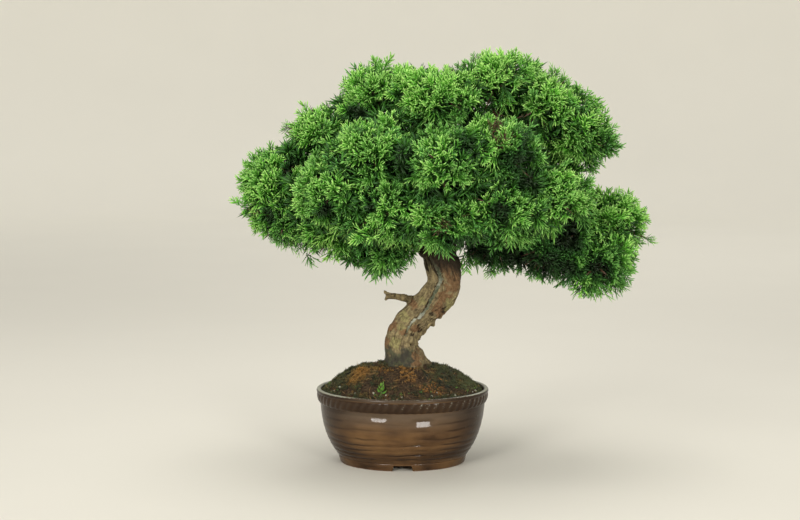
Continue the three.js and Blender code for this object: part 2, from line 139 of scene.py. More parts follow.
def tidied(piece: bpy.types.Object, apart: float = 0.01 * MM) -> bpy.types.Object:
    """Merges a mesh's doubles and turns its faces outwards.

    Args:
        piece: the object whose mesh is cleaned.
        apart: vertices closer than this become one.

    Returns:
        The same object.
    """
    with editing(piece):
        bpy.ops.mesh.remove_doubles(threshold=apart)
        bpy.ops.mesh.normals_make_consistent(inside=False)
    return piece


def applied(piece: bpy.types.Object, kind: str, **settings: object) -> bpy.types.Object:
    """Adds one modifier to an object, sets it and applies it.

    Args:
        piece: the object to change.
        kind: the modifier's type, such as "REMESH".
        settings: the modifier's properties.

    Returns:
        The same object.
    """
    pick(piece)
    modifier = piece.modifiers.new(kind.lower(), kind)
    for name, value in settings.items():
        setattr(modifier, name, value)
    bpy.ops.object.modifier_apply(modifier=modifier.name)
    return piece


def joined(pieces: Sequence[bpy.types.Object], name: str) -> bpy.types.Object:
    """Several objects as one, under one name.

    Args:
        pieces: what is joined.
        name: the new name.

    Returns:
        The first of them, which holds the rest.
    """
    pick(pieces[0])
    for piece in pieces[1:]:
        piece.select_set(True)
    bpy.ops.object.join()
    pieces[0].name = name
    return pieces[0]


def added(add: Callable[..., object], **settings: object) -> bpy.types.Object:
    """Runs one of Blender's add operators with nothing else selected.

    Args:
        add: the operator.
        settings: its properties.

    Returns:
        The new object.
    """
    bpy.ops.object.select_all(action="DESELECT")
    add(**settings)
    return bpy.context.active_object


def copy_of_node(node: str, name: str) -> bpy.types.Object:
    """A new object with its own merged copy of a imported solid's mesh.

    Args:
        node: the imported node's name.
        name: the new object's name.

    Returns:
        The new object.
    """
    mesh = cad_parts[node].data.copy()
    mesh.materials.clear()
    piece = bpy.data.objects.new(name, mesh)
    bpy.context.scene.collection.objects.link(piece)
    return tidied(piece)


def points_of(piece: bpy.types.Object) -> np.ndarray:
    """An object's vertices as an array of shape (n, 3)."""
    found = np.empty(len(piece.data.vertices) * 3)
    piece.data.vertices.foreach_get("co", found)
    return found.reshape(-1, 3)


def normals_of(piece: bpy.types.Object) -> np.ndarray:
    """An object's vertex normals as an array of shape (n, 3)."""
    found = np.empty(len(piece.data.vertices) * 3)
    piece.data.vertex_normals.foreach_get("vector", found)
    return found.reshape(-1, 3)


def corners_of(piece: bpy.types.Object) -> np.ndarray:
    """The vertex at each corner of each face of an object."""
    found = np.empty(len(piece.data.loops), np.int64)
    piece.data.loops.foreach_get("vertex_index", found)
    return found


def move_points(piece: bpy.types.Object, points: np.ndarray) -> None:
    """Puts an object's vertices at new places."""
    piece.data.vertices.foreach_set("co", points.astype(np.float32).ravel())
    piece.data.update()


def store(piece: bpy.types.Object, name: str, values: np.ndarray) -> None:
    """Keeps one number, or one vector, for each vertex of an object.

    Args:
        piece: the object that holds them.
        name: the attribute's name, which materials read.
        values: shape (n,) or (n, 3).
    """
    kind, entry = ("FLOAT", "value") if values.ndim == 1 else ("FLOAT_VECTOR", "vector")
    held = piece.data.attributes.new(name, kind, "POINT")
    held.data.foreach_set(entry, values.astype(np.float32).ravel())


def rough(points: np.ndarray, size: float, seed: int = 0, octaves: int = 1) -> np.ndarray:
    """Smooth noise at many places.

    Args:
        points: shape (n, 3).
        size: about how wide a bump is, in the points' own unit.
        seed: shifts the pattern.
        octaves: how many finer layers it has.

    Returns:
        Numbers from about -1 to 1, shape (n,).
    """
    moved = points / size + 17.3 * seed
    if octaves == 1:
        return np.array([noise.noise(p) for p in moved])
    return np.array([noise.fractal(p, 1.0, 2.0, octaves) for p in moved])


def smooth_step(values: np.ndarray, low: float, high: float) -> np.ndarray:
    """0 below low and 1 above high, with an even bend between; low may be the larger."""
    share = np.clip((values - low) / (high - low), 0, 1)
    return share * share * (3 - 2 * share)


def clamped(value: float, low: float, high: float) -> float:
    """A number kept within a range."""
    return min(max(value, low), high)


def aim(heading: Vector, roll: float = 0.0) -> Matrix:
    """The turn that points +Z along heading, after a roll about it."""
    return heading.to_track_quat("Z", "Y").to_matrix().to_4x4() @ Matrix.Rotation(roll, 4, "Z")


def placed(at: Vector, heading: Vector, roll: float = 0.0, size: float = 1.0) -> Matrix:
    """The place of a copy that grows from a point along a heading."""
    return Matrix.Translation(at) @ aim(heading, roll) @ Matrix.Scale(size, 4)


def drawn_out(start: Vector, limb: Vector, radius: float, length: float) -> Matrix:
    """The place of a copy of unit length and radius that is drawn out along a limb."""
    return Matrix.Translation(start) @ aim(limb) @ Matrix.Diagonal((radius, radius, length, 1))


def jittered(heading: Vector, draw: random.Random, spread: float) -> Vector:
    """A random direction near another."""
    return (heading + Vector([draw.gauss(0, spread) for _ in range(3)])).normalized()


def lifted(heading: Vector, draw: random.Random, spread: float, lift: float) -> Vector:
    """A random direction near another and a little above it."""
    return (heading + Vector((draw.gauss(0, spread), draw.gauss(0, spread), lift))).normalized()


def leaning(tilt: float, turn: float) -> Vector:
    """The direction that leans from +Z by tilt, towards turn, in radians."""
    across = math.sin(tilt)
    return Vector((across * math.cos(turn), across * math.sin(turn), math.cos(tilt)))


def random_heading(draw: random.Random) -> Vector:
    """Any direction, each as likely as the next."""
    return jittered(Vector(), draw, 1)


def even_direction(i: int, count: int, turn: float) -> Vector:
    """The i-th of count directions spread evenly over a sphere."""
    rise = 1 - (2 * i + 1) / count
    level = math.sqrt(1 - rise * rise)
    angle = i * GOLDEN_ANGLE + turn
    return Vector((level * math.cos(angle), level * math.sin(angle), rise))


def scaled(first: Vector, second: Vector) -> Vector:
    """Two vectors multiplied entry by entry."""
    return Vector(a * b for a, b in zip(first, second))


def shade_smooth(piece: bpy.types.Object, angle: float = math.radians(40)) -> None:
    """Smooth shading, with edges sharper than the angle kept."""
    pick(piece)
    bpy.ops.object.shade_smooth_by_angle(angle=angle)


def triangles(piece: bpy.types.Object) -> int:
    """How many triangles a mesh has."""
    return sum(len(face.vertices) - 2 for face in piece.data.polygons)


def deliver(piece: bpy.types.Object, slot: Slot, finish: bpy.types.Material, *nodes: str) -> None:
    """Dresses a finished piece, puts it on the object's body and reports it.

    Args:
        piece: the finished object, at the origin, with its place in its mesh.
        slot: the record's material slot.
        finish: the material it wears.
        nodes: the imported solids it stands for.
    """
    piece.data.materials.clear()
    piece.data.materials.append(finish)
    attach(piece, BODY)
    if nodes:
        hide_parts(*nodes)
    log.info("%s: %d triangles, %s", piece.name, triangles(piece), slot.value)


# -------------------- patterns, copied many times


@dataclass
class Spot:
    """Where one copy of a pattern goes, which pattern it is, and its tint from 0 to 1."""

    kind: int
    place: Matrix
    tint: float = 0.5


@dataclass
class Pattern:
    """A small modelled shape, as numbers that can be copied many times into one mesh."""

    points: np.ndarray
    corners: np.ndarray
    sizes: np.ndarray
    paint: np.ndarray
    mixed: float = 0.5  # how much of a copy's tint comes from its spot

    @classmethod
    def taken(cls, piece: bpy.types.Object, length: float) -> "Pattern":
        """Reads a modelled shape, which grows along +Z, and deletes its object.

        Args:
            piece: the modelled object.
            length: its length, for the paint map's U.

        Returns:
            The shape's pattern.
        """
        points, corners = points_of(piece), corners_of(piece)
        sizes = np.empty(len(piece.data.polygons), np.int64)
        piece.data.polygons.foreach_get("loop_total", sizes)
        along = np.clip(points[:, 2] / length, 0, 1)
        spread = np.random.default_rng(0).uniform(0.4, 0.6, len(points))
        bpy.data.objects.remove(piece)
        return cls(points, corners, sizes, np.stack([along, spread], 1)[corners])

    @classmethod
    def strewn(cls, patterns: Sequence["Pattern"], spots: Sequence[Spot]) -> "Pattern":
        """Copies patterns to many spots.

        Args:
            patterns: the shapes that spots name by number.
            spots: where each copy goes.

        Returns:
            All the copies as one pattern.
        """
        points, corners, sizes, paint = [], [], [], []
        count = 0
        for spot in spots:
            shape = patterns[spot.kind]
            turn = np.array(spot.place)
            points.append(shape.points @ turn[:3, :3].T + turn[:3, 3])
            corners.append(shape.corners + count)
            sizes.append(shape.sizes)
            tinted = shape.paint.copy()
            tinted[:, 1] += shape.mixed * (spot.tint - tinted[:, 1])
            paint.append(tinted)
            count += len(shape.points)
        return cls(*(np.concatenate(part) for part in (points, corners, sizes, paint)))

    def shaded(self, low: float, high: float, own: float) -> "Pattern":
        """Sets U by the distance from the origin and by each part's own length; low U paints shade
        near the root.

        Args:
            low: the distance at which U starts from 0.
            high: the distance at which it comes to 1.
            own: how much of it each part's own length gives, from 0 to 1.

        Returns:
            The same pattern.
        """
        out = (np.linalg.norm(self.points, axis=1) - low) / (high - low)
        mixed = (1 - own) * np.clip(out, 0, 1)[self.corners] + own * self.paint[:, 0]
        self.paint[:, 0] = np.clip(mixed, *GREEN)
        return self

    def made(self, name: str) -> bpy.types.Object:
        """The pattern as an object with its own mesh and paint map.

        Args:
            name: the object's name.

        Returns:
            The object.
        """
        mesh = bpy.data.meshes.new(name)
        mesh.vertices.add(len(self.points))
        mesh.vertices.foreach_set("co", self.points.astype(np.float32).ravel())
        mesh.loops.add(len(self.corners))
        mesh.loops.foreach_set("vertex_index", self.corners.astype(np.int32))
        mesh.polygons.add(len(self.sizes))
        starts = np.concatenate([[0], np.cumsum(self.sizes)[:-1]])
        mesh.polygons.foreach_set("loop_start", starts.astype(np.int32))
        mesh.update(calc_edges=True)
        held = mesh.uv_layers.new(name=PAINT_MAP)
        held.uv.foreach_set("vector", self.paint.astype(np.float32).ravel())
        piece = bpy.data.objects.new(name, mesh)
        bpy.context.scene.collection.objects.link(piece)
        return piece


def model_shoot(length: float, radius: float, sides: int = 3, swell: float = 0.3) -> Pattern:
    """A slim shoot along +Z: a small foot, its full width a little way up, and a point.

    Args:
        length: from foot to point.
        radius: where it is widest.
        sides: how many sides it has.
        swell: how far up it is widest, as a share of the length.

    Returns:
        The shoot's pattern.
    """
    foot = 0.7  # of the full radius
    rise = swell * length
    shoot = added(bpy.ops.mesh.primitive_circle_add, vertices=sides, radius=radius * foot,
                  fill_type="NGON")
    with editing(shoot):
        bpy.ops.mesh.extrude_region_move(TRANSFORM_OT_translate={"value": (0, 0, rise)})
        bpy.ops.transform.resize(value=(1 / foot, 1 / foot, 1), center_override=(0, 0, rise))
        bpy.ops.mesh.extrude_region_move(TRANSFORM_OT_translate={"value": (0, 0, length - rise)})
        bpy.ops.mesh.merge(type="CENTER")
    return Pattern.taken(tidied(shoot), length)


def model_grain(radius: float, seed: int, detail: int = 1) -> Pattern:
    """An uneven grain about the origin.

    Args:
        radius: about how far it reaches.
        seed: which grain.
        detail: the sphere's subdivisions.

    Returns:
        The grain's pattern.
    """
    uneven, flattened = 0.45, (1, 0.8, 0.7)
    grain = added(bpy.ops.mesh.primitive_ico_sphere_add, subdivisions=detail, radius=radius)
    points = points_of(grain)
    points *= 1 + uneven * rough(points, radius, seed)[:, None]
    move_points(grain, points * flattened)
    return Pattern.taken(grain, radius)


# -------------------- finishes


class Paint:
    """A material under construction: its nodes, its links and its shader."""

    def __init__(self, name: str, **constants: object) -> None:
        """Starts a material.

        Args:
            name: the material's name.
            constants: what is the same all over, by the shader's socket name with _ for space.
        """
        self.material = bpy.data.materials.new(name)
        self.material.use_nodes = True
        self.tree = self.material.node_tree
        self.shader = self.tree.nodes["Principled BSDF"]
        for key, value in constants.items():
            self.shader.inputs[key.replace("_", " ")].default_value = value

    def node(self, kind: str, **settings: object) -> bpy.types.Node:
        """Adds a node and sets its properties."""
        made = self.tree.nodes.new("ShaderNode" + kind)
        for key, value in settings.items():
            setattr(made, key, value)
        return made

    def feed(self, made: bpy.types.Node, entry: object, value: object) -> None:
        """Gives a socket a link, if value is a socket, or else a fixed value."""
        if isinstance(value, Socket):
            self.tree.links.new(value, made.inputs[entry])
        else:
            made.inputs[entry].default_value = value

    def place(self, scale: Sequence[float] = (1, 1, 1)) -> Socket:
        """Object coordinates, stretched by a scale along each axis."""
        source = self.node("TexCoord").outputs["Object"]
        mapping = self.node("Mapping")
        self.feed(mapping, "Vector", source)
        self.feed(mapping, "Scale", tuple(scale))
        return mapping.outputs["Vector"]

    def kept(self, name: str, entry: str = "Fac") -> Socket:
        """A number or vector that the mesh holds for each vertex."""
        return self.node("Attribute", attribute_name=name).outputs[entry]

    def painted(self) -> tuple[Socket, Socket]:
        """How far along its growth a point is, and its tint, from the paint map."""
        source = self.node("UVMap", uv_map=PAINT_MAP).outputs["UV"]
        parts = self.node("SeparateXYZ")
        self.feed(parts, "Vector", source)
        return parts.outputs["X"], parts.outputs["Y"]

    def noise(self, scale: float, detail: float = 3, grit: float = 0.55,
              stretch: Sequence[float] = (1, 1, 1), vector: Socket | None = None) -> Socket:
        """Soft noise from 0 to 1.

        Args:
            scale: how many bumps there are in a metre, or in a unit of the vector.
            detail: how many finer layers there are.
            grit: how strong those are.
            stretch: the scale of the object coordinates along each axis.
            vector: where the noise is taken instead of at object coordinates.

        Returns:
            The noise.
        """
        made = self.node("TexNoise")
        self.feed(made, "Vector", self.place(stretch) if vector is None else vector)
        for entry, value in {"Scale": scale, "Detail": detail, "Roughness": grit}.items():
            self.feed(made, entry, value)
        return made.outputs["Fac"]

    def cells(self, scale: float) -> Socket:
        """The distance to the middle of the nearest of many cells, about 1/scale metres wide."""
        made = self.node("TexVoronoi")
        self.feed(made, "Vector", self.place())
        self.feed(made, "Scale", scale)
        return made.outputs["Distance"]

    def ramp(self, value: object, *stops: tuple[float, Colour]) -> Socket:
        """A colour for each value, from stops of (place, colour).

        Args:
            value: from 0 to 1.
            stops: in rising order.

        Returns:
            The colour.
        """
        made = self.node("ValToRGB")
        self.feed(made, "Fac", value)
        band = made.color_ramp.elements
        while len(band) < len(stops):
            band.new(1.0)
        for element, (at, colour) in zip(band, stops):
            element.position = at
            element.color = (*colour, 1)
        return made.outputs["Color"]

    def between(self, value: object, low: float, high: float) -> Socket:
        """0 where value is under low, 1 over high, and smooth between."""
        made = self.node("MapRange", interpolation_type="SMOOTHSTEP")
        for entry, number in {"Value": value, "From Min": low, "From Max": high}.items():
            self.feed(made, entry, number)
        return made.outputs["Result"]

    def math(self, how: str, first: object, second: object = 0.0) -> Socket:
        """One sum on two numbers."""
        made = self.node("Math", operation=how)
        self.feed(made, 0, first)
        self.feed(made, 1, second)
        return made.outputs["Value"]

    def plus(self, first: object, second: object, weight: float) -> Socket:
        """The first number and weight times the second."""
        return self.math("ADD", first, self.math("MULTIPLY", second, weight))

    def mix(self, share: object, first: object, second: object, how: str = "MIX") -> Socket:
        """Two colours mixed.

        Args:
            share: how much of the second.
            first: a colour.
            second: a colour.
            how: the way of mixing.

        Returns:
            The mixed colour.
        """
        made = self.node("Mix", data_type="RGBA", blend_type=how)
        self.feed(made, "Factor", share)
        for entry, colour in ((6, first), (7, second)):
            flat = (*colour, 1) if isinstance(colour, tuple) else colour
            self.feed(made, entry, flat)
        return made.outputs[2]

    def stained(self, colour: object, name: str, fray: tuple[Socket, float], span: Pair,
                stain: object) -> Socket:
        """A colour with a stain on it.

        Args:
            colour: what is stained.
            name: of the numbers in the mesh that say where the stain is.
            fray: the noise that frays its edge, and how strongly.
            span: where the stain starts and where it is full, in their sum.
            stain: its colour.

        Returns:
            The stained colour.
        """
        share = self.plus(self.kept(name), *fray)
        return self.mix(self.between(share, *span), colour, stain)

    def bump(self, height: object, depth: float, before: Socket | None = None) -> Socket:
        """A normal that follows a height of 0 to 1, depth metres deep.

        Args:
            height: from 0 to 1.
            depth: how far 1 stands above 0.
            before: a normal to build on.

        Returns:
            The normal.
        """
        made = self.node("Bump")
        self.feed(made, "Height", height)
        self.feed(made, "Distance", depth)
        if before is not None:
            self.feed(made, "Normal", before)
        return made.outputs["Normal"]

    def finish(self, **sockets: object) -> bpy.types.Material:
        """Links the last sockets to the shader, by its socket name with _ for space."""
        for key, socket in sockets.items():
            self.feed(self.shader, key.replace("_", " "), socket)
        return self.material


@dataclass(frozen=True)
class Glaze:
    """A glossy, mottled brown glaze, worn to grey-green clay where it runs thin."""

    # thick glaze; also the colour of the painted shade towards the oval's ends
    thick: Colour = (0.018, 0.009, 0.0045)
    brown: Colour = (0.080, 0.041, 0.017)
    tan: Colour = (0.160, 0.086, 0.034)
    smoky: Colour = (0.098, 0.073, 0.051)
    worn: Colour = (0.31, 0.31, 0.24)
    fleck: Colour = (0.34, 0.38, 0.26)
    clay: Colour = (0.16, 0.085, 0.05)

    def material(self) -> bpy.types.Material:
        """Builds the finish.

        Returns:
            The material.
        """
        paint = Paint("brown_glaze", Coat_Weight=0.38, Coat_Roughness=0.09, Coat_IOR=1.45,
                      Specular_IOR_Level=0.05)
        streaks = paint.noise(55, detail=4, stretch=(1, 1, 4))
        pools = paint.noise(26, stretch=(1, 1, 1.6))
        flow = paint.plus(paint.math("MULTIPLY", streaks, 0.30), pools, 0.72)
        body = paint.ramp(flow, (0.34, self.thick), (0.46, self.brown), (0.66, self.tan))
        body = paint.mix(paint.kept("smoky"), body, self.smoky)
        # The mesh's hollow numbers darken the glaze where it pools in the ripples and the rope's
        # grooves, and paint shade towards the oval's ends.
        hollow = paint.between(paint.kept("hollow"), 0.05, 0.95)
        body = paint.mix(paint.math("MULTIPLY", hollow, 0.88), body, self.thick)
        dots = paint.between(paint.cells(380), 0.10, 0.05)
        rare = paint.between(paint.noise(120, detail=1), 0.60, 0.68)
        body = paint.mix(paint.math("MULTIPLY", dots, rare), body, self.fleck)
        grain = paint.math("SUBTRACT", paint.noise(900), 0.5)
        worn = paint.between(paint.plus(paint.kept("wear"), grain, 0.9), 0.42, 0.8)
        body = paint.mix(worn, body, self.worn)
        bare = paint.kept("bare")
        body = paint.mix(bare, body, self.clay)
        gloss = paint.plus(0.24, paint.noise(260), 0.16)
        dull = paint.plus(gloss, paint.math("MAXIMUM", worn, bare), 0.28)
        skin = paint.bump(paint.noise(520), depth=0.00012)
        return paint.finish(Base_Color=body, Roughness=dull, Normal=skin)


@dataclass(frozen=True)
class ScreenPlastic:
    """Dull black moulded plastic with a little dust on it."""

    dark: Colour = (0.014, 0.016, 0.015)
    dusty: Colour = (0.075, 0.058, 0.042)

    def material(self) -> bpy.types.Material:
        """Builds the finish.

        Returns:
            The material.
        """
        paint = Paint("screen_plastic")
        dust = paint.between(paint.noise(420, detail=4), 0.45, 0.7)
        colour = paint.mix(paint.math("MULTIPLY", dust, 0.6), self.dark, self.dusty)
        skin = paint.bump(paint.noise(1500, detail=2), depth=0.00006)
        return paint.finish(Base_Color=colour, Roughness=paint.plus(0.45, dust, 0.35), Normal=skin)


@dataclass(frozen=True)
class Earth:
    """Damp dark soil with rusty and ochre crumbs."""

    wet: Colour = (0.014, 0.010, 0.007)
    brown: Colour = (0.066, 0.042, 0.023)
    ochre: Colour = (0.190, 0.125, 0.062)
    rust: Colour = (0.30, 0.135, 0.034)

    def material(self) -> bpy.types.Material:
        """Builds the finish.

        Returns:
            The material.
        """
        paint = Paint("potting_soil", Specular_IOR_Level=0.25)
        crumb = paint.noise(620, detail=4, grit=0.65)
        colour = paint.ramp(crumb, (0.32, self.wet), (0.56, self.brown), (0.78, self.ochre))
        patch = paint.between(paint.noise(65), 0.52, 0.66)
        each = paint.between(paint.noise(800, detail=2), 0.45, 0.6)
        colour = paint.mix(paint.math("MULTIPLY", patch, each), colour, self.rust)
        return paint.finish(Base_Color=colour, Roughness=paint.plus(0.78, crumb, 0.2),
                            Normal=paint.bump(crumb, depth=0.0006))


@dataclass(frozen=True)
class Strewn:
    """What lies loose on the soil, from a dull to a bright colour by the tint of each piece."""

    name: str
    dull: Colour
    bright: Colour
    shaded: Colour = (0.55, 0.5, 0.5)  # the root of each piece is darkened to this
    gloss: float = 0.7

    def material(self) -> bpy.types.Material:
        """Builds the finish.

        Returns:
            The material.
        """
        paint = Paint(self.name, Specular_IOR_Level=0.3)
        along, tint = paint.painted()
        colour = paint.ramp(tint, (0.1, self.dull), (0.9, self.bright))
        ends = paint.ramp(along, (0.0, self.shaded), (0.6, (1, 1, 1)))
        return paint.finish(Base_Color=paint.mix(0.6, colour, ends, "MULTIPLY"),
                            Roughness=paint.plus(self.gloss, along, 0.2))


@dataclass(frozen=True)
class Living:
    """Green growth: dark at the root and bright at the tips, by the paint map alone; the dark roots
    are partly painted shade.
    """

    name: str
    twig: Colour
    # The tint picks between the darkest and the brightest growth; on the foliage it also carries
    # painted light and shade.
    old: tuple[Colour, Colour, Colour]  # root, middle and tip of the darkest growth
    young: tuple[Colour, Colour, Colour]  # the same for the brightest
    gloss: float = 0.5

    def material(self) -> bpy.types.Material:
        """Builds the finish.

        Returns:
            The material.
        """
        paint = Paint(self.name, Specular_IOR_Level=0.35)
        along, tint = paint.painted()
        dark, light = (paint.ramp(along, *zip((0.0, middle, 0.97), colours))
                       for middle, colours in ((0.55, self.old), (0.5, self.young)))
        green = paint.mix(paint.between(tint, 0.12, 0.88), dark, light)
        colour = paint.mix(paint.between(along, 0.035, 0.015), green, self.twig)
        return paint.finish(Base_Color=colour, Roughness=paint.plus(self.gloss, along, -0.12))


@dataclass(frozen=True)
class Bark:
    """Flaking, fibrous bark with a strip of bare grey-green deadwood winding up it."""

    # the colour of the bark's cracks and of the painted shade on it
    crack_and_shade: Colour = (0.030, 0.020, 0.011)
    grey: Colour = (0.140, 0.108, 0.063)
    tan: Colour = (0.286, 0.234, 0.122)
    red: Colour = (0.185, 0.110, 0.054)
    olive: Colour = (0.258, 0.232, 0.104)
    dead: Colour = (0.150, 0.155, 0.100)
    lichen: Colour = (0.062, 0.078, 0.044)
    # pale deadwood, which on the ribbon also stands in for a painted highlight
    bleach_and_highlight: Colour = (0.50, 0.50, 0.41)
    damp: Colour = (0.050, 0.046, 0.034)
    mossy: Colour = (0.085, 0.088, 0.048)
    mottle_dark: Colour = (0.55, 0.50, 0.46)  # factors on the colours above
    mottle_pale: Colour = (1.3, 1.28, 1.22)

    def material(self) -> bpy.types.Material:
        """Builds the finish.

        Returns:
            The material.
        """
        paint = Paint("juniper_bark", Specular_IOR_Level=0.25)
        fibre = paint.noise(0.8, detail=5, grit=0.6, vector=paint.kept("grain", "Vector"))
        patch = paint.noise(150, detail=4, grit=0.6)
        mottle = paint.noise(430, grit=0.65)
        colour = paint.ramp(fibre, (0.32, self.grey), (0.62, self.tan))
        colour = paint.stained(colour, "ruddy", (patch, 0.7), (0.42, 0.97), self.red)
        colour = paint.stained(colour, "olive", (patch, 0.7), (0.46, 1.01), self.olive)
        speckle = paint.ramp(mottle, (0.36, self.mottle_dark), (0.62, self.mottle_pale))
        colour = paint.mix(0.85, colour, speckle, "MULTIPLY")
        bone = paint.mix(paint.between(mottle, 0.40, 0.62), self.dead, self.lichen)
        bone = paint.mix(paint.kept("bleach_and_highlight"), bone, self.bleach_and_highlight)
        colour = paint.stained(colour, "dead", (mottle, 0.9), (0.75, 1.3), bone)
        # The cracks and the painted shade under the crown and on the trunk's right.
        colour = paint.stained(colour, "crack_and_shade", (fibre, 0.3), (0.42, 0.95), self.crack_and_shade)
        wet = paint.mix(paint.between(patch, 0.44, 0.62), self.damp, self.mossy)
        colour = paint.stained(colour, "damp", (mottle, 0.6), (0.45, 1.15), wet)
        skin = paint.bump(paint.noise(1100), depth=0.0003, before=paint.bump(fibre, depth=0.002))
        return paint.finish(Base_Color=colour, Normal=skin, Roughness=paint.plus(0.6, fibre, 0.3))


@dataclass(frozen=True)
class Backdrop:
    """Plain, pale, matt studio paper."""

    pale: Colour = (0.68, 0.655, 0.58)
    shade: float = 0.985  # the darker parts of its weave, as a share of that
    near: float = 0.7  # the glow of the far paper starts and is full at these
    far: float = 2.2
    glow: float = 0.36

    def material(self) -> bpy.types.Material:
        """Builds the finish: the paper is lit from behind far from the object."""
        paint = Paint("studio_paper", Roughness=0.9, Specular_IOR_Level=0.1)
        dim = tuple(self.shade * part for part in self.pale)
        tone = paint.ramp(paint.noise(6, detail=2), (0.3, dim), (0.7, self.pale))
        length = paint.node("VectorMath", operation="LENGTH")
        paint.feed(length, 0, paint.place())
        far = paint.between(length.outputs["Value"], self.near, self.far)
        return paint.finish(Base_Color=tone, Emission_Color=tone,
                            Emission_Strength=paint.math("MULTIPLY", far, self.glow))


JUNIPER = Living(
    "juniper_foliage",
    twig=(0.088, 0.047, 0.026),
    old=((0.010, 0.013, 0.006), (0.026, 0.110, 0.018), (0.125, 0.42, 0.075)),
    young=((0.014, 0.070, 0.009), (0.150, 0.520, 0.042), (0.54, 0.86, 0.22)),
)
MOSS_GREEN = Living(
    "moss",
    twig=(0.030, 0.022, 0.012),
    old=((0.005, 0.006, 0.003), (0.019, 0.022, 0.010), (0.130, 0.150, 0.056)),
    young=((0.026, 0.016, 0.006), (0.23, 0.105, 0.022), (0.66, 0.35, 0.085)),
    gloss=0.75,
)
WEED_GREEN = Living(
    "seedling_leaf",
    twig=(0.10, 0.13, 0.03),
    old=((0.05, 0.13, 0.02), (0.07, 0.20, 0.03), (0.10, 0.26, 0.035)),
    young=((0.08, 0.20, 0.02), (0.14, 0.34, 0.04), (0.24, 0.46, 0.06)),
    gloss=0.42,
)


# -------------------- pot


